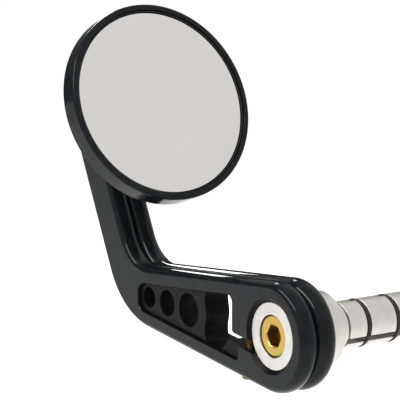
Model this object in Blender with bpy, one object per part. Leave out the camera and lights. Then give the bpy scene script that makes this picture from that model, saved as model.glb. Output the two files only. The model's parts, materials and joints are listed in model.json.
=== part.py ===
"""Bar-end mirror: a round convex mirror on a ball joint, carried by an elbowed billet arm that is
clamped on an aluminium bush, which an expanding collet holds inside the end of a handlebar.

Row frame, metres: the origin is the centre of the handlebar's end face, +Y runs into the bar,
+Z is up, the arm reaches out along -X and the glass faces +X and slightly up.
"""

import math

import bmesh
import bpy
from mathutils import Matrix, Vector

MM = 0.001
GAP = 0.3 * MM                      # clearance kept between neighbouring pieces

# ---- driving dimensions ------------------------------------------------------------------------
ARM_THICKNESS = 16.9 * MM
SHOULDER_LENGTH = 8.3 * MM          # visible ring of the bush between the arm and the bar
ARM_BACK = -SHOULDER_LENGTH - GAP
ARM_FRONT = ARM_BACK - ARM_THICKNESS
ARM_MIDDLE = 0.5 * (ARM_FRONT + ARM_BACK)

END_RADIUS = 22.0 * MM              # round clamp end of the arm
END_CENTRE = Vector((-0.3 * MM, -0.55 * MM))    # (x, z) of that end, a little off the bore
ARM_TAPER = math.radians(5.9)       # both edges of the lower limb close in away from the clamp
LIMB_LEAN = math.radians(26.3)      # the upper limb leans forward from the vertical
LIMB_WIDTH = 18.0 * MM
LIMB_END = Vector((-131.1 * MM, 59.2 * MM))
ELBOW_OUTER_RADIUS = 36.0 * MM
ELBOW_INNER_RADIUS = 18.0 * MM
VEE_DEPTH = 2.8 * MM                # two rounded beads run round the arm's edge, with a vee between

POCKET_TOP = 14.2 * MM              # distances of the pocket's long sides from the bore's axis
POCKET_BOTTOM = 15.8 * MM
POCKET_LEFT = -91.8 * MM
POCKET_RIGHT = -24.8 * MM
POCKET_LOWER_RIGHT = -20.6 * MM
POCKET_FRONT_DEPTH = 1.5 * MM
POCKET_BACK_DEPTH = 4.0 * MM
WEB_HOLES = ((-85.3 * MM, 4.3 * MM), (-72.2 * MM, 5.4 * MM), (-56.7 * MM, 6.9 * MM))
WEB_HOLE_HEIGHT = -0.4 * MM
WINDOW_LEFT = -45.3 * MM            # the window goes right through the arm
WINDOW_CROWN = 1.1 * MM             # its left wall swells this far between two milled lobes
SLIT_TOP = 5.5 * MM                 # distances of the slit's sides below the bore's axis
SLIT_BOTTOM = 10.0 * MM
SLIT_END = -9.0 * MM                # inside the bore

BUSH_RADIUS = 13.2 * MM
BORE_RADIUS = BUSH_RADIUS + GAP
BORE_CHAMFER = 1.3 * MM
BUSH_RECESS = 1.3 * MM              # the bush's outer face sits below the arm's face
SHOULDER_RADIUS = 14.8 * MM
SPIGOT_RADIUS = 9.2 * MM
SPIGOT_LENGTH = 6.0 * MM

SCREW_RADIUS = 5.0 * MM             # M10 socket cap screw
SCREW_HEAD_RADIUS = 7.9 * MM
SCREW_HEAD_LENGTH = 10.0 * MM
SCREW_HEAD_RECESS = 0.7 * MM
SCREW_TIP = 51.0 * MM
SCREW_KEY = 8.0 * MM                # hexagon key across flats

COLLET_RADIUS = 9.5 * MM
COLLET_START = 6.6 * MM
COLLET_END = 40.0 * MM
COLLET_WALL_INSIDE = 6.67 * MM
COLLET_SLOT = 2.4 * MM
TAPER = math.radians(15.0)
TAPER_LENGTH = 7.0 * MM
TAPER_BIG_RADIUS = 8.2 * MM
NUT_LENGTH = 13.0 * MM

PINCH_SCREW_X = -17.7 * MM          # two M4 cap screws close the slit from below
PINCH_HEAD_RADIUS = 3.5 * MM
PINCH_HEAD_LENGTH = 4.0 * MM
PINCH_HEAD_BOTTOM = -20.6 * MM
PINCH_SCREW_RADIUS = 2.0 * MM
PINCH_SCREW_TOP = 7.5 * MM
PINCH_KEY = 3.0 * MM

GLASS_RADIUS = 38.3 * MM            # a 3 inch class convex glass
GLASS_THICKNESS = 2.4 * MM
GLASS_CROWN = 0.6 * MM
GLASS_CENTRE = Vector((-86.5 * MM, ARM_MIDDLE, 80.07 * MM))
GLASS_TILT = math.radians(23.0)     # how far the glass looks up
RIM_RADIUS = 41.6 * MM
RIM_RECESS_RADIUS = 39.2 * MM
RIM_LIP_RADIUS = 1.0 * MM
RIM_STANDS_PROUD = 1.4 * MM         # height of the rim over the glass's edge
GLASS_SEAT = 4.2 * MM               # depths below are behind the glass's edge
RETAINER_SEAT = 12.0 * MM
DOME_APEX = 18.5 * MM
DOME_RADIUS = 81.0 * MM

BALL_DEPTH = 20.0 * MM              # ball centre behind the glass
BALL_RADIUS = 7.0 * MM
NECK_RADIUS = 3.5 * MM
CUP_INNER_RADIUS = BALL_RADIUS + GAP
CUP_OUTER_RADIUS = 8.8 * MM
SOCKET_RADIUS = CUP_OUTER_RADIUS + GAP
SOCKET_MOUTH_ANGLE = math.radians(46.0)
STUD_RADIUS = 3.0 * MM
STUD_DEPTH = 11.0 * MM
STUD_HEX = 11.0 * MM
SPOT_FACE_DEPTH = 3.2 * MM
SPOT_FACE_RADIUS = 6.6 * MM
COLLAR_RADIUS = 5.2 * MM
COLLAR_LENGTH = 8.0 * MM
WASHER_RADIUS = 6.0 * MM
WASHER_THICKNESS = 1.2 * MM
GRUB_RADIUS = 2.0 * MM
GRUB_KEY = 2.0 * MM

PAD_RADIUS = 37.0 * MM              # foam behind the glass
PAD_BACK = 3.9 * MM
PLATE_RADIUS = 15.0 * MM            # plate that holds the ball's cups in the housing
PLATE_BORE = 3.0 * MM
PLATE_BACK = 11.7 * MM
PLATE_FRONT = 10.2 * MM
PLATE_SCREW_CIRCLE = 12.0 * MM
PLATE_SCREW_ANGLE = math.radians(95.0)
PLATE_SCREW_RADIUS = 1.5 * MM
PLATE_SCREW_TIP = 16.3 * MM
PLATE_SCREW_KEY = 2.0 * MM
SPRING_SECTION = 0.8 * MM

FINE = 48                           # facets round the large turned pieces
COARSE = 32                         # facets round the small turned pieces


# ---- scene, materials and placing --------------------------------------------------------------
def clear_scene():
    for item in list(bpy.data.objects):
        bpy.data.objects.remove(item, do_unlink=True)


def make_material(name, colour, metallic, roughness):
    material = bpy.data.materials.new(name)
    material.use_nodes = True
    shader = material.node_tree.nodes["Principled BSDF"]
    shader.inputs["Base Color"].default_value = (*colour, 1.0)
    shader.inputs["Metallic"].default_value = metallic
    shader.inputs["Roughness"].default_value = roughness
    return material


def make_empty(name, location, tilt=0.0):
    """An empty on a joint's axis; tilt turns its Z axis from vertical towards +X."""
    empty = bpy.data.objects.new(name, None)
    empty.location = location
    empty.rotation_euler = (0.0, tilt, 0.0)
    empty.empty_display_size = 0.01
    bpy.context.collection.objects.link(empty)
    return empty


def add_piece(name, mesh_data, material, parent, sharp_angle=35.0):
    mesh_data.materials.append(material)
    mesh_data.shade_smooth()
    mesh_data.set_sharp_from_angle(angle=math.radians(sharp_angle))
    piece = bpy.data.objects.new(name, mesh_data)
    piece.parent = parent
    bpy.context.collection.objects.link(piece)
    return piece


def add_cutter(name, mesh_data, parent, targets):
    """A hidden solid that is subtracted from each target."""
    cutter = bpy.data.objects.new(name, mesh_data)
    cutter.parent = parent
    cutter.hide_render = True
    cutter.display_type = "WIRE"
    bpy.context.collection.objects.link(cutter)
    for target in targets:
        cut = target.modifiers.new(name, "BOOLEAN")
        cut.operation = "DIFFERENCE"
        cut.solver = "EXACT"
        cut.object = cutter
    return cutter


# ---- shape helpers -----------------------------------------------------------------------------
def to_mesh(name, build):
    """Turn a bmesh into mesh data with its faces pointing outwards."""
    bmesh.ops.recalc_face_normals(build, faces=build.faces)
    mesh_data = bpy.data.meshes.new(name)
    build.to_mesh(mesh_data)
    build.free()
    return mesh_data


def arc(centre, radius, start, end, steps):
    """Points of an arc in a plane; the angles are in radians."""
    turn = (end - start) / steps
    return [
        (centre[0] + radius * math.cos(start + turn * k), centre[1] + radius * math.sin(start + turn * k))
        for k in range(steps + 1)
    ]


def turned(name, profile, facets, begin=0.0, sweep=2.0 * math.pi):
    """Revolve a closed profile of (radius, height) points about Z, all the way or over a sector."""
    build = bmesh.new()
    whole = sweep > 2.0 * math.pi - 1e-6
    count = facets if whole else facets + 1
    columns = []
    for k in range(count):
        angle = begin + sweep * k / facets
        column = []
        for index, (radius, height) in enumerate(profile):
            if radius < 1e-9 and columns:
                column.append(columns[0][index])
            else:
                column.append(build.verts.new((radius * math.cos(angle), radius * math.sin(angle), height)))
        columns.append(column)
    size = len(profile)
    pairs = [(k, (k + 1) % count) for k in range(facets)]
    for here, there in pairs:
        for i in range(size):
            j = (i + 1) % size
            corners = [columns[here][i], columns[there][i], columns[there][j], columns[here][j]]
            corners = [v for n, v in enumerate(corners) if v not in corners[:n]]
            if len(corners) > 2:
                build.faces.new(corners)
    if not whole:
        build.faces.new(columns[0])
        build.faces.new(list(reversed(columns[-1])))
    return to_mesh(name, build)


def prism(name, outline, low, high, axis="Z"):
    """Extrude a flat outline; along Z it lies in XY, along Y its points are (x, z)."""
    build = bmesh.new()
    rows = []
    for level in (low, high):
        if axis == "Y":
            rows.append([build.verts.new((a, level, b)) for a, b in outline])
        else:
            rows.append([build.verts.new((a, b, level)) for a, b in outline])
    build.faces.new(rows[0])
    build.faces.new(list(reversed(rows[1])))
    size = len(outline)
    for i in range(size):
        j = (i + 1) % size
        build.faces.new((rows[0][i], rows[0][j], rows[1][j], rows[1][i]))
    return to_mesh(name, build)


def hexagon(across_flats):
    radius = 0.5 * across_flats / math.cos(math.pi / 6)
    return arc((0.0, 0.0), radius, 0.0, 2.0 * math.pi, 6)[:-1]


def rounded_polygon(corners, steps=4):
    """Closed outline from (x, z, fillet radius) corners."""
    outline = []
    size = len(corners)
    for i, (x, z, radius) in enumerate(corners):
        here = Vector((x, z))
        back = (Vector(corners[i - 1][:2]) - here).normalized()
        ahead = (Vector(corners[(i + 1) % size][:2]) - here).normalized()
        half = 0.5 * back.angle(ahead)
        if radius <= 0.0:
            outline.append((x, z))
            continue
        reach = radius / math.tan(half)
        centre = here + (back + ahead).normalized() * (radius / math.sin(half))
        first = here + back * reach - centre
        last = here + ahead * reach - centre
        start = math.atan2(first.y, first.x)
        turn = (math.atan2(last.y, last.x) - start + math.pi) % (2.0 * math.pi) - math.pi
        outline.extend(arc(centre, radius, start, start + turn, steps))
    return outline


def direction(angle):
    return Vector((math.cos(angle), math.sin(angle)))


def meet(normal_a, distance_a, normal_b, distance_b):
    """Where the lines normal . p = distance cross."""
    return Matrix((normal_a, normal_b)).inverted() @ Vector((distance_a, distance_b))


# ---- the arm -----------------------------------------------------------------------------------
TOP_NORMAL = direction(math.pi / 2 + ARM_TAPER)
BOTTOM_NORMAL = direction(-math.pi / 2 - ARM_TAPER)
LIMB_NORMAL = direction(LIMB_LEAN)          # from the limb towards the mirror head


def edge_distance(normal):
    """Distance of a straight edge of the lower limb from the bore's axis."""
    return END_RADIUS + END_CENTRE.dot(normal)


def arm_outline():
    """Crest of the arm's edge as (point, outward normal angle), anticlockwise from the clamp end."""
    half = 0.5 * LIMB_WIDTH
    limb_place = LIMB_END.dot(LIMB_NORMAL)
    inner = meet(TOP_NORMAL, edge_distance(TOP_NORMAL) + ELBOW_INNER_RADIUS,
                 LIMB_NORMAL, limb_place + half + ELBOW_INNER_RADIUS)
    outer = meet(-LIMB_NORMAL, half - limb_place - ELBOW_OUTER_RADIUS,
                 BOTTOM_NORMAL, edge_distance(BOTTOM_NORMAL) - ELBOW_OUTER_RADIUS)
    top = math.pi / 2 + ARM_TAPER
    bottom = -math.pi / 2 - ARM_TAPER
    lean = LIMB_LEAN
    stretches = (
        (END_CENTRE, END_RADIUS, bottom, top, 30),
        (inner, -ELBOW_INNER_RADIUS, top, lean, 8),
        (LIMB_END, half, lean, lean + math.pi, 16),
        (outer, ELBOW_OUTER_RADIUS, lean + math.pi, 2.0 * math.pi + bottom, 8),
    )
    crest = []
    for centre, radius, start, end, steps in stretches:
        for k in range(steps + 1):
            angle = start + (end - start) * k / steps
            crest.append((centre + direction(angle) * radius, angle))
    return crest


def edge_profile(steps=5):
    """(y, inset) across the arm's thickness: two equal round beads with a vee between them."""
    quarter = 0.25 * ARM_THICKNESS
    span = 2.0 * math.atan(VEE_DEPTH / quarter)
    bead_radius = quarter / math.sin(span)
    rows = []
    for middle in (ARM_FRONT + quarter, ARM_BACK - quarter):
        for k in range(steps + 1):
            angle = span * (2.0 * k / steps - 1.0)
            inset = bead_radius * (1.0 - math.cos(angle))
            rows.append((middle + bead_radius * math.sin(angle), inset))
    del rows[steps + 1]                     # the two beads share the bottom of the vee
    return rows


def arm_blank(name):
    build = bmesh.new()
    crest = arm_outline()
    rows = []
    for y, inset in edge_profile():
        row = []
        for point, angle in crest:
            place = point - direction(angle) * inset
            row.append(build.verts.new((place.x, y, place.y)))
        rows.append(row)
    size = len(crest)
    for lower, upper in zip(rows, rows[1:]):
        for i in range(size):
            j = (i + 1) % size
            build.faces.new((lower[i], lower[j], upper[j], upper[i]))
    build.faces.new(rows[0])
    build.faces.new(list(reversed(rows[-1])))
    return to_mesh(name, build)


def upper_side(x, distance):
    """Height at x of a line along the lower limb's top edge, this far from the bore's axis."""
    return (distance - TOP_NORMAL.x * x) / TOP_NORMAL.y


def lower_side(x, distance):
    """Height at x of a line along the lower limb's bottom edge, this far from the bore's axis."""
    return (distance - BOTTOM_NORMAL.x * x) / BOTTOM_NORMAL.y


def pocket_outline():
    step = 0.5 * (SLIT_TOP + SLIT_BOTTOM)
    return rounded_polygon((
        (POCKET_LEFT, upper_side(POCKET_LEFT, POCKET_TOP), 4.2 * MM),
        (POCKET_LEFT, lower_side(POCKET_LEFT, POCKET_BOTTOM), 4.2 * MM),
        (POCKET_LOWER_RIGHT, lower_side(POCKET_LOWER_RIGHT, POCKET_BOTTOM), 1.5 * MM),
        (POCKET_LOWER_RIGHT, lower_side(POCKET_LOWER_RIGHT, step), 0.0),
        (POCKET_RIGHT, lower_side(POCKET_RIGHT, step), 0.0),
        (POCKET_RIGHT, upper_side(POCKET_RIGHT, POCKET_TOP), 3.0 * MM),
    ))


def window_outline():
    """The through window: a left wall milled in two lobes, and the slit that runs on to the bore."""
    inside = 0.05 * MM                      # keeps the window's sides just clear of the pocket's
    top = POCKET_TOP - inside
    bottom = POCKET_BOTTOM - inside
    lobe = 5.2 * MM
    crown = WINDOW_LEFT + WINDOW_CROWN
    floor_end = -34.0 * MM
    slit_start = -29.0 * MM
    right = POCKET_RIGHT + inside
    return rounded_polygon((
        (WINDOW_LEFT, upper_side(WINDOW_LEFT, top), 2.5 * MM),
        (WINDOW_LEFT, lobe, 2.0 * MM),
        (crown, WEB_HOLE_HEIGHT, 8.0 * MM),
        (WINDOW_LEFT, -lobe, 1.0 * MM),
        (WINDOW_LEFT, lower_side(WINDOW_LEFT, bottom), 4.0 * MM),
        (floor_end, lower_side(floor_end, bottom), 2.5 * MM),
        (slit_start, lower_side(slit_start, SLIT_BOTTOM), 0.8 * MM),
        (SLIT_END, lower_side(SLIT_END, SLIT_BOTTOM), 0.0),
        (SLIT_END, lower_side(SLIT_END, SLIT_TOP), 0.0),
        (right, lower_side(right, SLIT_TOP), 1.8 * MM),
        (right, upper_side(right, top), 2.9 * MM),
    ))


def make_arm(black, pivot, stud_pivot):
    arm = add_piece("mirror_arm", arm_blank("mirror_arm"), black, pivot)
    over = 2.0 * MM
    pocket = pocket_outline()
    recesses = (
        ("cut_pocket_front", ARM_FRONT - over, ARM_FRONT + POCKET_FRONT_DEPTH),
        ("cut_pocket_back", ARM_BACK - POCKET_BACK_DEPTH, ARM_BACK + over),
    )
    for name, low, high in recesses:
        add_cutter(name, prism(name, pocket, low, high, "Y"), pivot, [arm])
    low = ARM_FRONT - over
    high = ARM_BACK + over
    add_cutter("cut_window", prism("cut_window", window_outline(), low, high, "Y"), pivot, [arm])
    for index, (x, radius) in enumerate(WEB_HOLES):
        name = f"cut_web_hole_{index + 1}"
        circle = arc((x, WEB_HOLE_HEIGHT), radius, 0.0, 2.0 * math.pi, COARSE)[:-1]
        add_cutter(name, prism(name, circle, low, high, "Y"), pivot, [arm])
    bore = along_y(turned("cut_bore", (
        (0.0, low),
        (BORE_RADIUS + BORE_CHAMFER + over, low),
        (BORE_RADIUS, ARM_FRONT + BORE_CHAMFER),
        (BORE_RADIUS, high),
        (0.0, high),
    ), FINE))
    add_cutter("cut_bore", bore, pivot, [arm])
    for name, y in pinch_places():
        hole = turned("cut_" + name, (
            (0.0, PINCH_HEAD_BOTTOM - 5.0 * MM),
            (PINCH_HEAD_RADIUS + GAP, PINCH_HEAD_BOTTOM - 5.0 * MM),
            (PINCH_HEAD_RADIUS + GAP, PINCH_HEAD_BOTTOM + PINCH_HEAD_LENGTH + GAP),
            (PINCH_SCREW_RADIUS + GAP, PINCH_HEAD_BOTTOM + PINCH_HEAD_LENGTH + GAP),
            (PINCH_SCREW_RADIUS + GAP, PINCH_SCREW_TOP + 1.0 * MM),
            (0.0, PINCH_SCREW_TOP + 1.0 * MM),
        ), 24)
        cutter = add_cutter("cut_" + name, hole, pivot, [arm])
        cutter.location = (PINCH_SCREW_X, y, 0.0)
    face = stud_reach() + SPOT_FACE_DEPTH
    stud_hole = turned("cut_stud", (
        (0.0, -face - STUD_DEPTH - 1.0 * MM),
        (STUD_RADIUS + GAP, -face - STUD_DEPTH - 1.0 * MM),
        (STUD_RADIUS + GAP, -face),
        (SPOT_FACE_RADIUS, -face),
        (SPOT_FACE_RADIUS, -face + 12.0 * MM),
        (0.0, -face + 12.0 * MM),
    ), COARSE)
    add_cutter("cut_stud", stud_hole, stud_pivot, [arm])
    grub = prism("cut_grub", arc(grub_centre(), GRUB_RADIUS + GAP, 0.0, 2.0 * math.pi, 20)[:-1],
                 ARM_MIDDLE, ARM_BACK + over, "Y")
    add_cutter("cut_grub", grub, pivot, [arm])
    return arm


def along_y(mesh_data):
    """Turn a piece made about Z so that its axis lies along +Y."""
    mesh_data.transform(Matrix.Rotation(-math.pi / 2, 4, "X"))
    return mesh_data


def pinch_places():
    quarter = 0.25 * ARM_THICKNESS
    return (("pinch_screw_outer", ARM_FRONT + quarter), ("pinch_screw_inner", ARM_BACK - quarter))


def make_pinch_screw(name, y, plating, pivot):
    bottom = PINCH_HEAD_BOTTOM
    chamfer = 0.3 * MM
    profile = (
        (0.0, bottom),
        (PINCH_HEAD_RADIUS - chamfer, bottom),
        (PINCH_HEAD_RADIUS, bottom + chamfer),
        (PINCH_HEAD_RADIUS, bottom + PINCH_HEAD_LENGTH),
        (PINCH_SCREW_RADIUS, bottom + PINCH_HEAD_LENGTH),
        (PINCH_SCREW_RADIUS, PINCH_SCREW_TOP - 0.5 * MM),
        (PINCH_SCREW_RADIUS - 0.5 * MM, PINCH_SCREW_TOP),
        (0.0, PINCH_SCREW_TOP),
    )
    screw = add_piece(name, turned(name, profile, 24), plating, pivot)
    screw.location = (PINCH_SCREW_X, y, 0.0)
    key = prism("key_" + name, hexagon(PINCH_KEY), bottom - 1.0 * MM, bottom + 2.2 * MM)
    cutter = add_cutter("key_" + name, key, pivot, [screw])
    cutter.location = screw.location
    return screw


# ---- ball stud ---------------------------------------------------------------------------------
def head_axis():
    return Vector((math.cos(GLASS_TILT), 0.0, math.sin(GLASS_TILT)))


def ball_centre():
    return GLASS_CENTRE - head_axis() * BALL_DEPTH


def stud_reach():
    """Distance from the ball's centre to the crest of the limb's near edge."""
    centre = ball_centre()
    place = Vector((centre.x, centre.z)).dot(LIMB_NORMAL)
    return place - LIMB_END.dot(LIMB_NORMAL) - 0.5 * LIMB_WIDTH


def grub_centre():
    """The grub screw bears on the stud's shank, a little way inside the limb."""
    centre = ball_centre()
    depth = stud_reach() + SPOT_FACE_DEPTH + 6.5 * MM
    return Vector((centre.x, centre.z)) - LIMB_NORMAL * depth


def make_stud(steel, pivot):
    face = stud_reach() + SPOT_FACE_DEPTH
    washer_top = face - GAP - WASHER_THICKNESS
    collar_back = washer_top - GAP
    collar_front = collar_back - COLLAR_LENGTH
    neck_angle = math.asin(NECK_RADIUS / BALL_RADIUS)
    ball = arc((0.0, 0.0), BALL_RADIUS, math.pi / 2, neck_angle - math.pi / 2, 12)
    ball[0] = (0.0, BALL_RADIUS)
    profile = ball + [
        (NECK_RADIUS, -collar_front + 1.0 * MM),
        (NECK_RADIUS + 1.0 * MM, -collar_front),
        (COLLAR_RADIUS, -collar_front),
        (COLLAR_RADIUS, -collar_back),
        (STUD_RADIUS, -collar_back),
        (STUD_RADIUS, -face - STUD_DEPTH + 0.5 * MM),
        (STUD_RADIUS - 0.5 * MM, -face - STUD_DEPTH),
        (0.0, -face - STUD_DEPTH),
    ]
    stud = add_piece("ball_stud", turned("ball_stud", profile, COARSE), steel, pivot)
    collar = prism("stud_collar", hexagon(STUD_HEX), -collar_back + 0.2 * MM, -collar_front - 0.2 * MM)
    tool = bpy.data.objects.new("stud_collar", collar)
    tool.parent = pivot
    tool.hide_render = True
    tool.display_type = "WIRE"
    bpy.context.collection.objects.link(tool)
    join = stud.modifiers.new("stud_collar", "BOOLEAN")
    join.operation = "UNION"
    join.solver = "EXACT"
    join.object = tool
    return stud


def make_washer(steel, pivot):
    back = -(stud_reach() + SPOT_FACE_DEPTH) + GAP
    profile = (
        (STUD_RADIUS + GAP, back),
        (WASHER_RADIUS, back),
        (WASHER_RADIUS, back + WASHER_THICKNESS),
        (STUD_RADIUS + GAP, back + WASHER_THICKNESS),
    )
    return add_piece("stud_washer", turned("stud_washer", profile, COARSE), steel, pivot)


def make_grub_screw(steel, pivot):
    low = ARM_MIDDLE + STUD_RADIUS + GAP
    high = ARM_BACK - 0.4 * MM
    profile = (
        (0.0, low),
        (GRUB_RADIUS - 0.5 * MM, low),
        (GRUB_RADIUS, low + 0.5 * MM),
        (GRUB_RADIUS, high - 0.3 * MM),
        (GRUB_RADIUS - 0.3 * MM, high),
        (0.0, high),
    )
    grub = add_piece("stud_grub_screw", along_y(turned("stud_grub_screw", profile, 20)), steel, pivot)
    place = grub_centre()
    grub.location = (place.x, 0.0, place.y)
    key = along_y(prism("key_grub", hexagon(GRUB_KEY), high - 1.8 * MM, high + 1.0 * MM))
    cutter = add_cutter("key_grub", key, pivot, [grub])
    cutter.location = grub.location
    return grub


# ---- mirror head, about the ball's centre with Z along the glass's normal ----------------------
def behind(depth):
    """Height of a point this far behind the glass's edge plane."""
    return BALL_DEPTH - depth


def sphere_zone(name, start, end, material, parent):
    """A ring cut from the shell round the ball, between two angles from the -Z pole."""
    low = -math.pi / 2 + start
    high = -math.pi / 2 + end
    profile = arc((0.0, 0.0), CUP_OUTER_RADIUS, low, high, 6)
    profile += arc((0.0, 0.0), CUP_INNER_RADIUS, high, low, 6)
    return add_piece(name, turned(name, profile, COARSE), material, parent)


def make_housing(black, head):
    seat = behind(GLASS_SEAT)
    plate_seat = behind(RETAINER_SEAT)
    mouth = -math.pi / 2 + SOCKET_MOUTH_ANGLE
    boss_end = -6.7 * MM
    lip_centre = (RIM_RADIUS - RIM_LIP_RADIUS, behind(RIM_LIP_RADIUS - RIM_STANDS_PROUD))
    lip = arc(lip_centre, RIM_LIP_RADIUS, math.pi / 2, 0.0, 3)
    dome_centre = (0.0, behind(DOME_APEX) + DOME_RADIUS)
    dome = arc(dome_centre, DOME_RADIUS, math.radians(-60.4), math.radians(-80.9), 6)
    socket = arc((0.0, 0.0), SOCKET_RADIUS, mouth, 0.0, 5)
    profile = [(RIM_RECESS_RADIUS, behind(-RIM_STANDS_PROUD))]
    profile += lip
    profile += [
        (RIM_RADIUS, behind(6.8 * MM)),
        (RIM_RADIUS - 0.5 * MM, behind(7.3 * MM)),
    ]
    profile += dome
    profile += [
        (12.8 * MM, boss_end + 0.8 * MM),
        (12.0 * MM, boss_end),
        (7.0 * MM, boss_end),
    ]
    profile += socket
    profile += [
        (SOCKET_RADIUS, plate_seat),
        (PLATE_RADIUS + 0.5 * MM, plate_seat),
        (PLATE_RADIUS + 0.5 * MM, behind(9.5 * MM)),
        (21.0 * MM, behind(9.5 * MM)),
        (31.0 * MM, seat),
        (RIM_RECESS_RADIUS, seat),
    ]
    housing = add_piece("mirror_housing", turned("mirror_housing", profile, FINE), black, head)
    for index in range(3):
        name = f"cut_plate_screw_{index + 1}"
        hole = turned(name, (
            (0.0, behind(PLATE_SCREW_TIP + GAP)),
            (PLATE_SCREW_RADIUS + GAP, behind(PLATE_SCREW_TIP + GAP)),
            (PLATE_SCREW_RADIUS + GAP, behind(11.0 * MM)),
            (0.0, behind(11.0 * MM)),
        ), 16)
        cutter = add_cutter(name, hole, head, [housing])
        cutter.location = plate_screw_place(index)
    return housing


def plate_screw_place(index):
    place = direction(PLATE_SCREW_ANGLE + index * 2.0 * math.pi / 3) * PLATE_SCREW_CIRCLE
    return (place.x, place.y, 0.0)


def make_retainer(steel, head):
    profile = (
        (PLATE_BORE, behind(PLATE_BACK)),
        (PLATE_RADIUS, behind(PLATE_BACK)),
        (PLATE_RADIUS, behind(PLATE_FRONT)),
        (PLATE_BORE, behind(PLATE_FRONT)),
    )
    plate = add_piece("retaining_plate", turned("retaining_plate", profile, COARSE), steel, head)
    for index in range(3):
        name = f"cut_retainer_{index + 1}"
        hole = turned(name, (
            (0.0, behind(13.0 * MM)),
            (PLATE_SCREW_RADIUS + GAP, behind(13.0 * MM)),
            (PLATE_SCREW_RADIUS + GAP, behind(9.0 * MM)),
            (0.0, behind(9.0 * MM)),
        ), 16)
        cutter = add_cutter(name, hole, head, [plate])
        cutter.location = plate_screw_place(index)
    return plate


def make_plate_screw(index, steel, head):
    name = f"plate_screw_{index + 1}"
    profile = (
        (0.0, behind(PLATE_SCREW_TIP)),
        (PLATE_SCREW_RADIUS, behind(PLATE_SCREW_TIP)),
        (PLATE_SCREW_RADIUS, behind(9.9 * MM)),
        (2.8 * MM, behind(9.9 * MM)),
        (2.4 * MM, behind(8.4 * MM)),
        (0.0, behind(8.2 * MM)),
    )
    screw = add_piece(name, turned(name, profile, 16), steel, head)
    screw.location = plate_screw_place(index)
    key = prism("key_" + name, hexagon(PLATE_SCREW_KEY), behind(9.4 * MM), behind(7.0 * MM))
    cutter = add_cutter("key_" + name, key, head, [screw])
    cutter.location = screw.location
    return screw


def make_seat_spring(steel, head):
    inner = 4.6 * MM
    outer = 8.6 * MM
    low = behind(13.7 * MM)
    high = behind(12.0 * MM)
    lift = 0.6 * MM
    profile = (
        (inner, low),
        (inner + SPRING_SECTION, low),
        (outer, high - lift),
        (outer, high),
        (outer - SPRING_SECTION, high),
        (inner, low + lift),
    )
    return add_piece("seat_spring", turned("seat_spring", profile, COARSE), steel, head)


def make_glass(silver, rubber, foam, head):
    crown = [
        (GLASS_RADIUS * k / 6, behind(-GLASS_CROWN * (1.0 - (k / 6) ** 2)))
        for k in range(7)
    ]
    bevel = 0.3 * MM
    glass_profile = crown[:-1] + [
        (GLASS_RADIUS - bevel, behind(0.0)),
        (GLASS_RADIUS, behind(bevel)),
        (GLASS_RADIUS, behind(GLASS_THICKNESS)),
        (0.0, behind(GLASS_THICKNESS)),
    ]
    add_piece("mirror_glass", turned("mirror_glass", glass_profile, FINE), silver, head)
    pad_profile = (
        (0.0, behind(PAD_BACK)),
        (PAD_RADIUS, behind(PAD_BACK)),
        (PAD_RADIUS, behind(GLASS_THICKNESS + GAP)),
        (0.0, behind(GLASS_THICKNESS + GAP)),
    )
    add_piece("glass_pad", turned("glass_pad", pad_profile, FINE), foam, head)
    gasket_inner = GLASS_RADIUS + GAP
    gasket_outer = RIM_RECESS_RADIUS - GAP
    gasket_profile = (
        (gasket_inner, behind(PAD_BACK)),
        (gasket_outer, behind(PAD_BACK)),
        (gasket_outer, behind(-0.5 * MM)),
        (gasket_outer - 0.3 * MM, behind(-0.8 * MM)),
        (gasket_inner, behind(-0.5 * MM)),
    )
    add_piece("glass_gasket", turned("glass_gasket", gasket_profile, FINE), rubber, head)


# ---- bush, main screw and expanding collet, about the bar's axis ------------------------------
def cone_radius(distance):
    """Radius of a taper this far from its big end."""
    return TAPER_BIG_RADIUS - distance * math.tan(TAPER)


def make_bush(aluminium, bar):
    face = ARM_FRONT + BUSH_RECESS
    seat = face + SCREW_HEAD_RECESS + SCREW_HEAD_LENGTH + 2.2 * MM + 2.0 * GAP
    pocket = SCREW_HEAD_RADIUS + 0.4 * MM
    chamfer = 0.5 * MM
    profile = (
        (pocket + 0.3 * MM, face),
        (BUSH_RADIUS - chamfer, face),
        (BUSH_RADIUS, face + chamfer),
        (BUSH_RADIUS, ARM_BACK + GAP),
        (SHOULDER_RADIUS - chamfer, ARM_BACK + GAP),
        (SHOULDER_RADIUS, ARM_BACK + GAP + chamfer),
        (SHOULDER_RADIUS, -chamfer),
        (SHOULDER_RADIUS - chamfer, 0.0),
        (SPIGOT_RADIUS, 0.0),
        (SPIGOT_RADIUS, SPIGOT_LENGTH),
        (TAPER_BIG_RADIUS, SPIGOT_LENGTH),
        (cone_radius(TAPER_LENGTH), SPIGOT_LENGTH + TAPER_LENGTH),
        (SCREW_RADIUS + GAP, SPIGOT_LENGTH + TAPER_LENGTH),
        (SCREW_RADIUS + GAP, seat),
        (pocket, seat),
        (pocket, face + 0.3 * MM),
    )
    add_piece("clamp_bush", along_y(turned("clamp_bush", profile, FINE)), aluminium, bar)


def make_main_screw(plating, bar):
    face = ARM_FRONT + BUSH_RECESS + SCREW_HEAD_RECESS
    chamfer = 0.5 * MM
    profile = (
        (0.0, face),
        (SCREW_HEAD_RADIUS - chamfer, face),
        (SCREW_HEAD_RADIUS, face + chamfer),
        (SCREW_HEAD_RADIUS, face + SCREW_HEAD_LENGTH),
        (SCREW_RADIUS, face + SCREW_HEAD_LENGTH),
        (SCREW_RADIUS, SCREW_TIP - 1.0 * MM),
        (SCREW_RADIUS - 1.0 * MM, SCREW_TIP),
        (0.0, SCREW_TIP),
    )
    screw = add_piece("main_screw", along_y(turned("main_screw", profile, 48)), plating, bar)
    key = prism("key_main", hexagon(SCREW_KEY), face - 1.0 * MM, face + 5.0 * MM)
    add_cutter("key_main", along_y(key), bar, [screw])


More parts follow.
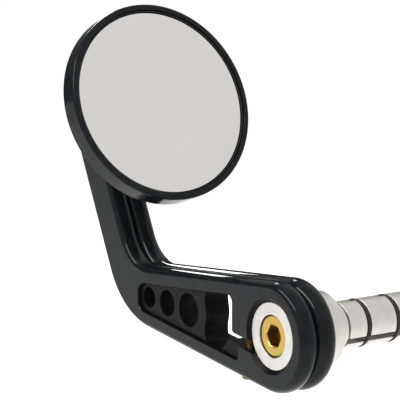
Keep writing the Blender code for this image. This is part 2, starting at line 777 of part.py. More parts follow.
def make_spring_washer(steel, bar):
    """Split spring washer under the main screw's head."""
    start = ARM_FRONT + BUSH_RECESS + SCREW_HEAD_RECESS + SCREW_HEAD_LENGTH + GAP
    profile = (
        (SCREW_RADIUS + GAP, start),
        (8.0 * MM, start),
        (8.0 * MM, start + 2.2 * MM),
        (SCREW_RADIUS + GAP, start + 2.2 * MM),
    )
    split = math.radians(8.0)
    ring = turned("spring_washer", profile, COARSE, begin=split, sweep=2.0 * math.pi - split)
    add_piece("spring_washer", along_y(ring), steel, bar)


def make_collet_segment(index, aluminium, bar):
    """A third of the split collet, with two grooves for the rings that hold it together."""
    big = TAPER_BIG_RADIUS - (COLLET_START - SPIGOT_LENGTH) * math.tan(TAPER) + GAP / math.cos(TAPER)
    inner = COLLET_WALL_INSIDE
    slope = (big - inner) / math.tan(TAPER)
    chamfer = 0.5 * MM
    profile = [
        (big, COLLET_START),
        (COLLET_RADIUS - chamfer, COLLET_START),
        (COLLET_RADIUS, COLLET_START + chamfer),
    ]
    for middle in ring_places():
        groove = 1.1 * MM
        floor = COLLET_RADIUS - 1.5 * MM
        profile += [
            (COLLET_RADIUS, middle - groove),
            (floor, middle - groove),
            (floor, middle + groove),
            (COLLET_RADIUS, middle + groove),
        ]
    profile += [
        (COLLET_RADIUS, COLLET_END - chamfer),
        (COLLET_RADIUS - chamfer, COLLET_END),
        (big, COLLET_END),
        (inner, COLLET_END - slope),
        (inner, COLLET_START + slope),
    ]
    name = f"collet_segment_{index + 1}"
    half_slot = math.asin(0.5 * COLLET_SLOT / (0.5 * (COLLET_RADIUS + inner)))
    begin = collet_angle(index) - math.pi / 3 + half_slot
    sweep = 2.0 * math.pi / 3 - 2.0 * half_slot
    segment = along_y(turned(name, profile, 12, begin=begin, sweep=sweep))
    add_piece(name, segment, aluminium, bar)


def collet_angle(index):
    """Middle of a collet segment, measured about the turning axis before it is laid along Y."""
    return math.radians(90.0 + 120.0 * index)


def ring_places():
    return (COLLET_START + 9.4 * MM, COLLET_END - 9.4 * MM)


def make_collet_ring(name, middle, rubber, bar):
    section = 0.7 * MM
    centre = COLLET_RADIUS - 1.5 * MM + GAP + section
    profile = arc((centre, middle), section, 0.0, 2.0 * math.pi, 8)[:-1]
    add_piece(name, along_y(turned(name, profile, COARSE)), rubber, bar)


def make_taper_nut(steel, bar):
    big_end = COLLET_END + (COLLET_START - SPIGOT_LENGTH)
    small_end = big_end - TAPER_LENGTH
    far_end = small_end + NUT_LENGTH
    chamfer = 0.5 * MM
    profile = (
        (SCREW_RADIUS + GAP, small_end),
        (cone_radius(TAPER_LENGTH), small_end),
        (TAPER_BIG_RADIUS, big_end),
        (SPIGOT_RADIUS, big_end),
        (SPIGOT_RADIUS, far_end - chamfer),
        (SPIGOT_RADIUS - chamfer, far_end),
        (SCREW_RADIUS + GAP, far_end),
    )
    add_piece("taper_nut", along_y(turned("taper_nut", profile, 48)), steel, bar)


# ---- the whole object --------------------------------------------------------------------------
def main():
    clear_scene()
    black = make_material("black_anodised", (0.018, 0.019, 0.02), 0.6, 0.22)
    aluminium = make_material("bright_aluminium", (0.82, 0.82, 0.80), 1.0, 0.35)
    yellow_zinc = make_material("yellow_zinc", (0.75, 0.55, 0.16), 1.0, 0.32)
    steel = make_material("bright_steel", (0.62, 0.62, 0.63), 1.0, 0.3)
    silver = make_material("silvered_glass", (0.8, 0.8, 0.79), 1.0, 0.03)
    rubber = make_material("black_rubber", (0.02, 0.02, 0.02), 0.0, 0.7)
    foam = make_material("grey_foam", (0.2, 0.2, 0.2), 0.0, 0.9)
    nylon = make_material("white_nylon", (0.75, 0.74, 0.7), 0.0, 0.5)

    bar = make_empty("bar_axis", (0.0, 0.0, 0.0))
    arm_pivot = make_empty("arm_pivot", (0.0, 0.0, 0.0))
    stud_pivot = make_empty("stud_pivot", ball_centre(), math.pi / 2 - LIMB_LEAN)
    head = make_empty("head_pivot", ball_centre(), math.pi / 2 - GLASS_TILT)

    make_bush(aluminium, bar)
    make_main_screw(yellow_zinc, bar)
    make_spring_washer(steel, bar)
    make_taper_nut(steel, bar)
    for index in range(3):
        make_collet_segment(index, aluminium, bar)
    for name, middle in zip(("collet_ring_front", "collet_ring_rear"), ring_places()):
        make_collet_ring(name, middle, rubber, bar)

    make_arm(black, arm_pivot, stud_pivot)
    for name, y in pinch_places():
        make_pinch_screw(name, y, yellow_zinc, arm_pivot)
    make_stud(steel, stud_pivot)
    make_washer(steel, stud_pivot)
    make_grub_screw(steel, arm_pivot)

    sphere_zone("ball_cup_rear", SOCKET_MOUTH_ANGLE, math.radians(79.0), nylon, head)
    sphere_zone("ball_cup_front", math.radians(97.0), math.radians(133.0), nylon, head)
    make_housing(black, head)
    make_seat_spring(steel, head)
    make_retainer(steel, head)
    for index in range(3):
        make_plate_screw(index, steel, head)
    make_glass(silver, rubber, foam, head)


main()
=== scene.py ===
"""Looks of the bar-end mirror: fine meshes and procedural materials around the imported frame.

Row frame, metres: the origin is the centre of the handlebar's end face, +Y runs into the bar,
+Z is up and the arm reaches out along -X. Lengths of the mirror are written as millimetres
times MM, and those of the studio in metres.
"""
import json
import math

import bmesh
import bpy
from mathutils import Matrix, Vector


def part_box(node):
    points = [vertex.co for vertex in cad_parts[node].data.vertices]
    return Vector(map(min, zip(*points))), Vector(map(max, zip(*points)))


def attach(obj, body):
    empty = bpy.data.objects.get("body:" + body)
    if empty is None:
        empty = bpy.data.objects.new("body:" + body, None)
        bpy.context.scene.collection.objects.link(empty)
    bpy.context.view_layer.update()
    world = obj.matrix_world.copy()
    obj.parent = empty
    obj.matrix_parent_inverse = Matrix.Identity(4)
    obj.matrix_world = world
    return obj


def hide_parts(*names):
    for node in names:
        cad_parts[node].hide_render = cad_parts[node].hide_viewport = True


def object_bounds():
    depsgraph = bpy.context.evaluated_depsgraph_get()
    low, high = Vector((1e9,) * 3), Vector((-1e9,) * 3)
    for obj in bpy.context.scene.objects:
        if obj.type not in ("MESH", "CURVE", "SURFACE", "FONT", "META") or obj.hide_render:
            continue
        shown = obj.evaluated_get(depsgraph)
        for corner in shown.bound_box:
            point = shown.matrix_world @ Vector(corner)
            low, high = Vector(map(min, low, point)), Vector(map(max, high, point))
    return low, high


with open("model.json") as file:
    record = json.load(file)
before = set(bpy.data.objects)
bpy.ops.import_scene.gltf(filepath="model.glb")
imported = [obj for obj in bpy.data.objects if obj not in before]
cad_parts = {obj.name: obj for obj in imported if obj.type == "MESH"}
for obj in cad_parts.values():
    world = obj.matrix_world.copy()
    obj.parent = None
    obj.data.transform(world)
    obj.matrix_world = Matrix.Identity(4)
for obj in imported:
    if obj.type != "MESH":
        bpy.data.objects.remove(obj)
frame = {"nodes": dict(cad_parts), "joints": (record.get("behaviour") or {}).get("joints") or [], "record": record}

CAD_LOW, CAD_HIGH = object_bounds()

MM = 0.001
FULL_TURN = 2.0 * math.pi
GAP = 0.3 * MM                      # left between pieces that fit together
MICRON = 0.001 * MM


# ---- driving dimensions, from the frame --------------------------------------------------------
def joint(name):
    return next(entry for entry in frame["joints"] if entry["name"] == name)


def low(node):
    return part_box(node)[0]


def high(node):
    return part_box(node)[1]


ARM_FRONT = low("mirror_arm").y
ARM_BACK = high("mirror_arm").y
ARM_THICKNESS = ARM_BACK - ARM_FRONT
ARM_MIDDLE = 0.5 * (ARM_FRONT + ARM_BACK)
BUSH_FACE = low("clamp_bush").y
BUSH_END = high("clamp_bush").y
SHOULDER_RADIUS = high("clamp_bush").z
SHOULDER_FRONT = ARM_BACK + GAP
SCREW_FACE = low("main_screw").y
SCREW_TIP = high("main_screw").y
SCREW_HEAD_RADIUS = high("main_screw").x
WASHER_FRONT = low("spring_washer").y
WASHER_BACK = high("spring_washer").y
COLLET_START = low("collet_segment_1").y
COLLET_END = high("collet_segment_1").y
NUT_START = low("taper_nut").y
NUT_END = high("taper_nut").y
NUT_RADIUS = high("taper_nut").x
BALL_CENTRE = Vector(joint("head_spin")["pos_m"])
HEAD_AXIS = Vector(joint("head_spin")["axis"])
PINCH_X = joint("pinch_screw_outer_turn")["pos_m"][0]
PINCH_BOTTOM = low("pinch_screw_outer").z
PINCH_TOP = high("pinch_screw_outer").z
PINCH_HEAD_RADIUS = 0.5 * (high("pinch_screw_outer").y - low("pinch_screw_outer").y)

# ---- shape of the arm --------------------------------------------------------------------------
END_CENTRE = Vector((-0.3 * MM, -0.55 * MM))     # (x, z) of the arm's round end, near the bore's
END_RADIUS = high("mirror_arm").x - END_CENTRE.x
ARM_TAPER = math.radians(5.9)
LIMB_LEAN = math.radians(26.3)
LIMB_WIDTH = 18.0 * MM
LIMB_END = Vector((-131.1 * MM, 59.2 * MM))
ELBOW_OUTER_RADIUS = 36.0 * MM
ELBOW_INNER_RADIUS = 18.0 * MM
VEE_DEPTH = 2.8 * MM                # depth of the vee between the two beads round the edge
FACE_ROUNDING = 2.8 * MM            # how far the bead eats into the flat face
POCKET_TOP = 14.2 * MM              # distances of the pocket's long sides from the bore's axis
POCKET_BOTTOM = 15.8 * MM
POCKET_LEFT = -91.8 * MM
POCKET_RIGHT = -24.8 * MM
POCKET_LOWER_RIGHT = -20.6 * MM
POCKET_FRONT_DEPTH = 1.5 * MM
POCKET_BACK_DEPTH = 4.0 * MM
WEB_HOLES = ((-85.3 * MM, 4.3 * MM), (-72.2 * MM, 5.4 * MM), (-56.7 * MM, 6.9 * MM))
WEB_HOLE_HEIGHT = -0.4 * MM
WINDOW_LEFT = -45.3 * MM
WINDOW_CROWN = 1.1 * MM
SLIT_TOP = 5.5 * MM                 # distances of the slit's sides below the bore's axis
SLIT_BOTTOM = 10.0 * MM
SLIT_END = -9.0 * MM
BORE_RADIUS = 13.5 * MM
BORE_CHAMFER = 1.3 * MM
EDGE_BREAK = 0.25 * MM              # small chamfer that catches the light along milled edges
MILLED_OVERRUN = 2.0 * MM

# ---- shape of the insert and the screws --------------------------------------------------------
BUSH_RADIUS = 13.2 * MM
SPIGOT_RADIUS = 9.2 * MM
SPIGOT_LENGTH = 6.0 * MM
SCREW_RADIUS = 5.0 * MM
SCREW_HEAD_LENGTH = 10.0 * MM
SCREW_KEY = 8.0 * MM
SCREW_PITCH = 1.5 * MM
TAPER = math.radians(15.0)
TAPER_LENGTH = 7.0 * MM
TAPER_BIG_RADIUS = 8.2 * MM
COLLET_RADIUS = 9.5 * MM
COLLET_INSIDE = 6.67 * MM
COLLET_SLOT = 2.4 * MM
RING_GROOVE_DEPTH = 1.5 * MM
RING_SECTION = 0.7 * MM
PINCH_RADIUS = 2.0 * MM
PINCH_HEAD_LENGTH = 4.0 * MM
PINCH_KEY = 3.0 * MM
PINCH_PITCH = 0.7 * MM

# ---- shape of the head and its joint -----------------------------------------------------------
BALL_DEPTH = 20.0 * MM
BALL_RADIUS = 7.0 * MM
NECK_RADIUS = 3.5 * MM
CUP_INNER_RADIUS = BALL_RADIUS + GAP
CUP_OUTER_RADIUS = 8.8 * MM
SOCKET_RADIUS = CUP_OUTER_RADIUS + GAP
SOCKET_MOUTH_ANGLE = math.radians(46.0)
GLASS_RADIUS = 38.3 * MM
GLASS_THICKNESS = 2.4 * MM
GLASS_CROWN = 0.6 * MM
RIM_RADIUS = 41.6 * MM
RIM_RECESS_RADIUS = 39.2 * MM
RIM_LIP_RADIUS = 1.0 * MM
RIM_STANDS_PROUD = 1.4 * MM
PAD_RADIUS = 37.0 * MM
PAD_BACK = 3.9 * MM
STUD_RADIUS = 3.0 * MM
STUD_DEPTH = 11.0 * MM
STUD_HEX = 11.0 * MM
SPOT_FACE_DEPTH = 3.2 * MM
SPOT_FACE_RADIUS = 6.6 * MM
COLLAR_LENGTH = 8.0 * MM
WASHER_RADIUS = 6.0 * MM
WASHER_THICKNESS = 1.2 * MM
GRUB_RADIUS = 2.0 * MM
GRUB_KEY = 2.0 * MM
GRUB_INSET = 6.5 * MM               # from the spot face to the grub screw's axis
GLASS_SEAT = 4.2 * MM               # depths below are behind the glass's edge
RETAINER_SEAT = 12.0 * MM
RETAINER_FRONT = 9.5 * MM
RETAINER_RADIUS = 15.5 * MM
WALL_BACK = 6.75 * MM
DOME_APEX = 18.5 * MM
DOME_RADIUS = 81.0 * MM
BOSS_RADIUS = 12.8 * MM
BOSS_END = -6.7 * MM                # height from the ball's centre

# ---- the camera --------------------------------------------------------------------------------
VIEW_AZIMUTH = math.radians(55.53)
VIEW_ELEVATION = math.radians(9.93)
VIEW_DISTANCE = 835.8 * MM
VIEW_AIM = Vector((-22.25 * MM, -42.1 * MM, 51.2 * MM))
VIEW_LENS = 198.0


# ---- node helpers for materials ----------------------------------------------------------------
class Shader:
    """A Principled material that is built up one node at a time."""

    def __init__(self, name, colour, metallic, roughness, specular=0.5):
        self.material = bpy.data.materials.new(name)
        self.material.use_nodes = True
        self.tree = self.material.node_tree
        self.surface = self.tree.nodes["Principled BSDF"]
        self.surface.inputs["Base Color"].default_value = (*colour, 1.0)
        self.surface.inputs["Metallic"].default_value = metallic
        self.surface.inputs["Roughness"].default_value = roughness
        self.surface.inputs["Specular IOR Level"].default_value = specular
        self.place = self.node("ShaderNodeTexCoord").outputs["Object"]
        self.bumped = None

    def node(self, kind, **values):
        made = self.tree.nodes.new(kind)
        for key, value in values.items():
            setattr(made, key, value)
        return made

    def link(self, source, target):
        self.tree.links.new(source, target)

    def noise(self, scale, detail=3.0):
        texture = self.node("ShaderNodeTexNoise")
        texture.inputs["Scale"].default_value = scale
        texture.inputs["Detail"].default_value = detail
        self.link(self.place, texture.inputs["Vector"])
        return texture.outputs["Fac"]

    def rings(self, centre, axis, pitch):
        """Turning marks: waves by the distance from an axis, or along it for a cylinder."""
        offset = self.node("ShaderNodeMapping")
        offset.vector_type = "TEXTURE"
        offset.inputs["Location"].default_value = centre
        offset.inputs["Rotation"].default_value = axis.to_track_quat("Z", "Y").to_euler()
        self.link(self.place, offset.inputs["Vector"])
        wave = self.node("ShaderNodeTexWave", wave_type="RINGS", rings_direction="Z")
        wave.inputs["Scale"].default_value = 0.314 / pitch
        wave.inputs["Distortion"].default_value = 0.6
        wave.inputs["Detail"].default_value = 2.0
        wave.inputs["Detail Scale"].default_value = 0.4
        self.link(offset.outputs["Vector"], wave.inputs["Vector"])
        return wave.outputs["Fac"]

    def ramp(self, factor, stops):
        ramp = self.node("ShaderNodeValToRGB")
        elements = ramp.color_ramp.elements
        while len(elements) < len(stops):
            elements.new(0.5)
        for element, (position, colour) in zip(elements, stops):
            element.position = position
            element.color = (*colour, 1.0)
        self.link(factor, ramp.inputs["Fac"])
        return ramp.outputs["Color"]

    def colour_from(self, factor, stops):
        self.link(self.ramp(factor, stops), self.surface.inputs["Base Color"])

    def roughness_from(self, factor, least, most):
        span = self.node("ShaderNodeMapRange")
        span.inputs["To Min"].default_value = least
        span.inputs["To Max"].default_value = most
        self.link(factor, span.inputs["Value"])
        self.link(span.outputs["Result"], self.surface.inputs["Roughness"])

    def bump_from(self, height, depth):
        """Bumps are chained, so a material can have a broad one and a fine one."""
        bump = self.node("ShaderNodeBump")
        bump.inputs["Strength"].default_value = 1.0
        bump.inputs["Distance"].default_value = depth
        self.link(height, bump.inputs["Height"])
        if self.bumped is not None:
            self.link(self.bumped, bump.inputs["Normal"])
        self.bumped = bump.outputs["Normal"]
        self.link(self.bumped, self.surface.inputs["Normal"])


BLACK_IOR = 1.22
# Lower than BLACK_IOR: the weaker reflection is part of the painted shade in the arm's milled recesses.
MILLED_PAINTED_SHADE_IOR = 1.2


def black_anodised(name, least, most, bump_height, bump_depth):
    """Bright-dipped and anodised aluminium: deep black under a clear, hard oxide skin."""
    shader = Shader(name, (0.006, 0.0065, 0.007), 0.0, 0.5 * (least + most))
    deep = (0.005, 0.0055, 0.006)
    lighter = (0.009, 0.0095, 0.0105)
    shader.colour_from(shader.noise(160.0), ((0.35, deep), (0.7, lighter)))
    shader.roughness_from(shader.noise(420.0, 4.0), least, most)
    shader.bump_from(bump_height(shader), bump_depth)
    shader.surface.inputs["IOR"].default_value = BLACK_IOR
    return shader.material


def fine_grain(shader):
    return shader.noise(2600.0, 2.0)


def turning_marks(shader):
    return shader.rings(BALL_CENTRE, HEAD_AXIS, 0.25 * MM)


def milled_painted_shade_black():
    """The pocket's floor and walls, and the walls of the window, web holes and bore: the same black, rougher from
    the milling, with painted shade from a darker colour and a weaker reflection than on the faces.
    """
    # Darker base colour and Specular IOR Level 0.3: painted shade in the recesses. The higher roughness is the
    # milled finish.
    shader = Shader("milled_painted_shade_black", (0.004, 0.004, 0.0045), 0.0, 0.34, 0.3)
    deep = (0.003, 0.003, 0.0035)
    lighter = (0.006, 0.006, 0.0065)
    shader.colour_from(shader.noise(300.0), ((0.3, deep), (0.7, lighter)))
    shader.roughness_from(shader.noise(700.0, 4.0), 0.28, 0.42)
    shader.bump_from(shader.noise(1700.0, 2.0), 3.0 * MICRON)
    shader.surface.inputs["IOR"].default_value = MILLED_PAINTED_SHADE_IOR
    return shader.material


def turned_aluminium():
    """Bare aluminium, fine-turned about the bar's axis."""
    shader = Shader("turned_aluminium", (0.60, 0.585, 0.56), 1.0, 0.38)
    shader.colour_from(shader.noise(220.0), ((0.3, (0.55, 0.535, 0.51)), (0.75, (0.63, 0.61, 0.585))))
    shader.roughness_from(shader.noise(900.0, 4.0), 0.32, 0.48)
    shader.bump_from(shader.rings(Vector(), Vector((0.0, 1.0, 0.0)), 0.22 * MM), 3.0 * MICRON)
    shader.bump_from(shader.noise(1800.0, 3.0), 2.0 * MICRON)
    return shader.material


def yellow_zinc(name, shade):
    """Yellow chromate over zinc: gold that drifts to pink and green."""
    # shade scales the whole colour: 0.82 is the zinc's own tone, and the lower values are painted shade.
    shader = Shader(name, (0.58 * shade, 0.40 * shade, 0.10 * shade), 1.0, 0.3)
    tints = (
        (0.30, 0.42, 0.40, 0.08),
        (0.46, 0.59, 0.41, 0.09),
        (0.60, 0.61, 0.38, 0.11),
        (0.74, 0.60, 0.33, 0.17),
    )
    shader.colour_from(shader.noise(170.0, 2.0), [
        (position, (red * shade, green * shade, blue * shade)) for position, red, green, blue in tints
    ])
    shader.roughness_from(shader.noise(1200.0, 4.0), 0.24, 0.42)
    shader.bump_from(shader.noise(2200.0, 2.0), 2.0 * MICRON)
    return shader.material


def plain_steel(name, colour, least, most):
    shader = Shader(name, colour, 1.0, 0.5 * (least + most))
    shader.colour_from(shader.noise(260.0), (
        (0.3, tuple(0.85 * c for c in colour)),
        (0.7, colour),
    ))
    shader.roughness_from(shader.noise(1000.0, 4.0), least, most)
    shader.bump_from(shader.noise(1900.0, 3.0), 1.8 * MICRON)
    return shader.material


def silvered_glass():
    """Silver behind clear glass, a little warm, with the faintest unevenness."""
    shader = Shader("silvered_glass", (0.638, 0.628, 0.602), 1.0, 0.02)
    darker = (0.625, 0.615, 0.59)
    lighter = (0.645, 0.635, 0.61)
    shader.colour_from(shader.noise(18.0, 1.0), ((0.3, darker), (0.7, lighter)))
    shader.roughness_from(shader.noise(60.0, 2.0), 0.015, 0.03)
    shader.surface.inputs["Coat Weight"].default_value = 0.6
    shader.surface.inputs["Coat Roughness"].default_value = 0.01
    return shader.material


def moulded(name, colour, roughness, grain, depth):
    """Rubber, foam or nylon: a dull skin with a fine grain."""
    shader = Shader(name, colour, 0.0, roughness)
    shader.colour_from(shader.noise(300.0), (
        (0.3, tuple(0.8 * c for c in colour)),
        (0.7, colour),
    ))
    shader.roughness_from(shader.noise(900.0, 4.0), roughness - 0.08, roughness + 0.08)
    shader.bump_from(shader.noise(grain, 4.0), depth)
    return shader.material


MATERIALS = {
    "black_anodised": black_anodised("black_anodised", 0.07, 0.13, fine_grain, 1.2 * MICRON),
    "turned_black": black_anodised("turned_black", 0.09, 0.16, turning_marks, 0.8 * MICRON),
    # Milled black: the milled finish, with painted shade for the arm's recesses.
    "milled_painted_shade_black": milled_painted_shade_black(),
    "bright_aluminium": turned_aluminium(),
    "yellow_zinc": yellow_zinc("yellow_zinc", 0.82),
    # Darker copy of the yellow zinc: painted shade on the pinch screws, which sit in the slit and under the arm.
    "pinch_painted_shade_zinc": yellow_zinc("pinch_painted_shade_zinc", 0.3),
    # Darker copy of the yellow zinc: painted shade in the main screw's key socket.
    "socket_painted_shade_zinc": yellow_zinc("socket_painted_shade_zinc", 0.5),
    "bright_steel": plain_steel("bright_steel", (0.60, 0.60, 0.61), 0.18, 0.32),
    "silvered_glass": silvered_glass(),
    "black_rubber": moulded("black_rubber", (0.006, 0.006, 0.006), 0.7, 1500.0, 10.0 * MICRON),
    "grey_foam": moulded("grey_foam", (0.16, 0.16, 0.16), 0.85, 1100.0, 60.0 * MICRON),
    "white_nylon": moulded("white_nylon", (0.72, 0.71, 0.66), 0.42, 1400.0, 6.0 * MICRON),
}


# ---- mesh helpers ------------------------------------------------------------------------------
def arc(centre, radius, start, end, steps):
    return [
        (centre[0] + radius * math.cos(start + (end - start) * k / steps),
         centre[1] + radius * math.sin(start + (end - start) * k / steps))
        for k in range(steps + 1)
    ]


def softened(profile, radius, steps=3):
    """Round every corner of a closed (radius, height) profile that has room for it."""
    result = []
    size = len(profile)
    for i in range(size):
        here = Vector(profile[i])
        back = Vector(profile[i - 1]) - here
        ahead = Vector(profile[(i + 1) % size]) - here
        on_axis = here.x < 1e-6
        if on_axis or back.length < 1e-7 or ahead.length < 1e-7:
            result.append(tuple(here))
            continue
        angle = back.angle(ahead)
        if angle > math.radians(165.0):
            result.append(tuple(here))
            continue
        reach = min(radius / math.tan(0.5 * angle), 0.4 * back.length, 0.4 * ahead.length)
        first = here + back.normalized() * reach
        last = here + ahead.normalized() * reach
        for k in range(steps + 1):
            t = k / steps
            point = first * (1 - t) ** 2 + here * (2 * t * (1 - t)) + last * t ** 2
            result.append(tuple(point))
    return result


def ring_surface(build, rings, closed):
    """Skin between rings of vertices; closed also joins the last ring to the first."""
    pairs = list(zip(rings, rings[1:]))
    if closed:
        pairs.append((rings[-1], rings[0]))
    size = max(len(ring) for ring in rings)
    for here, there in pairs:
        for k in range(size):
            j = (k + 1) % size
            corners = [
                here[k % len(here)],
                here[j % len(here)],
                there[j % len(there)],
                there[k % len(there)],
            ]
            corners = [v for n, v in enumerate(corners) if v not in corners[:n]]
            if len(corners) > 2:
                build.faces.new(corners)


def finished(name, build):
    bmesh.ops.recalc_face_normals(build, faces=build.faces)
    mesh = bpy.data.meshes.new(name)
    build.to_mesh(mesh)
    build.free()
    return mesh


def turned(name, profile, segments=128, begin=0.0, sweep=FULL_TURN):
    """Revolve a closed (radius, height) profile about Z. A part turn is closed by its two ends."""
    build = bmesh.new()
    whole = sweep > FULL_TURN - 1e-6
    if whole:
        rings = []
        for radius, height in profile:
            if radius < 1e-6:
                rings.append([build.verts.new((0.0, 0.0, height))])
                continue
            rings.append([
                build.verts.new((radius * math.cos(FULL_TURN * k / segments),
                                 radius * math.sin(FULL_TURN * k / segments), height))
                for k in range(segments)
            ])
        ring_surface(build, rings, closed=profile[0][0] > 1e-6)
        return finished(name, build)
    columns = []
    for k in range(segments + 1):
        angle = begin + sweep * k / segments
        columns.append([
            build.verts.new((radius * math.cos(angle), radius * math.sin(angle), height))
            for radius, height in profile
        ])
    ring_surface(build, columns, closed=False)
    build.faces.new(columns[0])
    build.faces.new(columns[-1])
    return finished(name, build)


def threaded(name, head, start, end, radius, pitch, tip, segments=64):
    """A turned head profile, then a real helical thread from start to end, then a chamfered tip."""
    build = bmesh.new()
    rings = []
    for r, z in head:
        if r < 1e-6:
            rings.append([build.verts.new((0.0, 0.0, z))])
        else:
            rings.append([
                build.verts.new((r * math.cos(FULL_TURN * k / segments),
                                 r * math.sin(FULL_TURN * k / segments), z))
                for k in range(segments)
            ])
    depth = 0.6 * pitch
    steps = int(abs(end - start) / pitch * 10)
    for row in range(steps + 1):
        z = start + (end - start) * row / steps
        fade = min(1.0, row / 12.0)
        ring = []
        for k in range(segments):
            phase = (z / pitch - k / segments) % 1.0
            groove = max(0.0, 1.0 - abs(2.0 * phase - 1.0) * 1.25)
            r = radius - depth * groove * fade
            angle = FULL_TURN * k / segments
            ring.append(build.verts.new((r * math.cos(angle), r * math.sin(angle), z)))
        rings.append(ring)
    core = radius - depth - 0.2 * MM
    rings.append([
        build.verts.new((core * math.cos(FULL_TURN * k / segments),
                         core * math.sin(FULL_TURN * k / segments), tip))
        for k in range(segments)
    ])
    rings.append([build.verts.new((0.0, 0.0, tip))])
    ring_surface(build, rings, closed=False)
    return finished(name, build)


def prism(name, outline, low_end, high_end, axis="Z", flare=(0.0, 0.0)):
    """Extrude an outline. flare widens it at the two ends, which leaves a chamfer where it cuts."""
    build = bmesh.new()
    levels = [(low_end, flare[0]), (high_end, flare[1])]
    rows = []
    for level, widening in levels:
        row = []
        for i, point in enumerate(outline):
            before = Vector(outline[i - 1])
            after = Vector(outline[(i + 1) % len(outline)])
            tangent = (after - before).normalized()
            out = Vector((tangent.y, -tangent.x)) * widening
            a, b = point[0] + out.x, point[1] + out.y
            row.append(build.verts.new((a, level, b) if axis == "Y" else (a, b, level)))
        rows.append(row)
    build.faces.new(rows[0])
    build.faces.new(rows[1])
    ring_surface(build, rows, closed=False)
    return finished(name, build)


def hexagon(across_flats):
    radius = 0.5 * across_flats / math.cos(math.pi / 6)
    return [
        (radius * math.cos(k * math.pi / 3), radius * math.sin(k * math.pi / 3))
        for k in range(6)
    ]


def rounded_polygon(corners, steps=8):
    """Closed outline from (x, z, fillet radius) corners."""
    outline = []
    size = len(corners)
    for i, (x, z, radius) in enumerate(corners):
        here = Vector((x, z))
        back = (Vector(corners[i - 1][:2]) - here).normalized()
        ahead = (Vector(corners[(i + 1) % size][:2]) - here).normalized()
        if radius <= 0.0:
            outline.append((x, z))
            continue
        half = 0.5 * back.angle(ahead)
        centre = here + (back + ahead).normalized() * (radius / math.sin(half))
        reach = radius / math.tan(half)
        first = here + back * reach - centre
        last = here + ahead * reach - centre
        start = math.atan2(first.y, first.x)
        turn = (math.atan2(last.y, last.x) - start + math.pi) % FULL_TURN - math.pi
        outline.extend(arc(centre, radius, start, start + turn, steps))
    return outline


def counterclockwise(outline):
    area = sum(a[0] * b[1] - b[0] * a[1] for a, b in zip(outline, outline[1:] + outline[:1]))
    return outline if area > 0 else list(reversed(outline))


def boolean(mesh, tools, operation="DIFFERENCE"):
    """Cut, join or intersect meshes exactly, and give back plain mesh data, nothing left live."""
    body = bpy.data.objects.new("work", mesh)
    bpy.context.scene.collection.objects.link(body)
    helpers = []
    for tool_mesh in tools:
        tool = bpy.data.objects.new("tool", tool_mesh)
        bpy.context.scene.collection.objects.link(tool)
        cut = body.modifiers.new("cut", "BOOLEAN")
        cut.operation = operation
        cut.solver = "EXACT"
        cut.object = tool
        helpers.append(tool)
    depsgraph = bpy.context.evaluated_depsgraph_get()
    result = bpy.data.meshes.new_from_object(body.evaluated_get(depsgraph))
    for leftover in [body] + helpers:
        bpy.data.objects.remove(leftover, do_unlink=True)
    return result


def body_of_node(node):
    bodies = frame["record"]["behaviour"]["bodies"]
    return next(body for body, nodes in bodies.items() if node in nodes)


def slot_of_node(node):
    entries = frame["record"]["subparts"]
    return next(entry["material_slot"] for entry in entries if entry["node"] == node)


def place_piece(node, mesh, material, matrix=None, sharp=35.0):
    """Put a fine mesh where a CAD node is: it rides, is painted and stands in as that node does."""
    if matrix is not None:
        mesh.transform(matrix)
    mesh.materials.clear()
    mesh.materials.append(MATERIALS[material])
    mesh.shade_smooth()
    mesh.set_sharp_from_angle(angle=math.radians(sharp))
    piece = bpy.data.objects.new(node + "_fine", mesh)
    bpy.context.scene.collection.objects.link(piece)
    normals = piece.modifiers.new("even_normals", "WEIGHTED_NORMAL")
    normals.keep_sharp = True
    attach(piece, body_of_node(node))
    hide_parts(node)
    return piece


def paint_where(piece, material, is_there):
    """Give a second material to the faces whose centre passes the test."""
    piece.data.materials.append(MATERIALS[material])
    for face in piece.data.polygons:
        face.material_index = 1 if is_there(face.center) else 0


ALONG_Y = Matrix.Rotation(-math.pi / 2, 4, "X")
IN_HEAD = Matrix.Translation(BALL_CENTRE) @ HEAD_AXIS.to_track_quat("Z", "Y").to_matrix().to_4x4()
STUD_AXIS = Vector((math.cos(LIMB_LEAN), 0.0, math.sin(LIMB_LEAN)))
ON_STUD = Matrix.Translation(BALL_CENTRE) @ STUD_AXIS.to_track_quat("Z", "Y").to_matrix().to_4x4()


def direction(angle):
    return Vector((math.cos(angle), math.sin(angle)))


def meet(normal_a, distance_a, normal_b, distance_b):
    return Matrix((normal_a, normal_b)).inverted() @ Vector((distance_a, distance_b))


# ---- the arm -----------------------------------------------------------------------------------
TOP_NORMAL = direction(math.pi / 2 + ARM_TAPER)
BOTTOM_NORMAL = direction(-math.pi / 2 - ARM_TAPER)
LIMB_NORMAL = direction(LIMB_LEAN)


def edge_distance(normal):
    """Distance of a straight edge of the lower limb from the bore's axis."""
    return END_RADIUS + END_CENTRE.dot(normal)


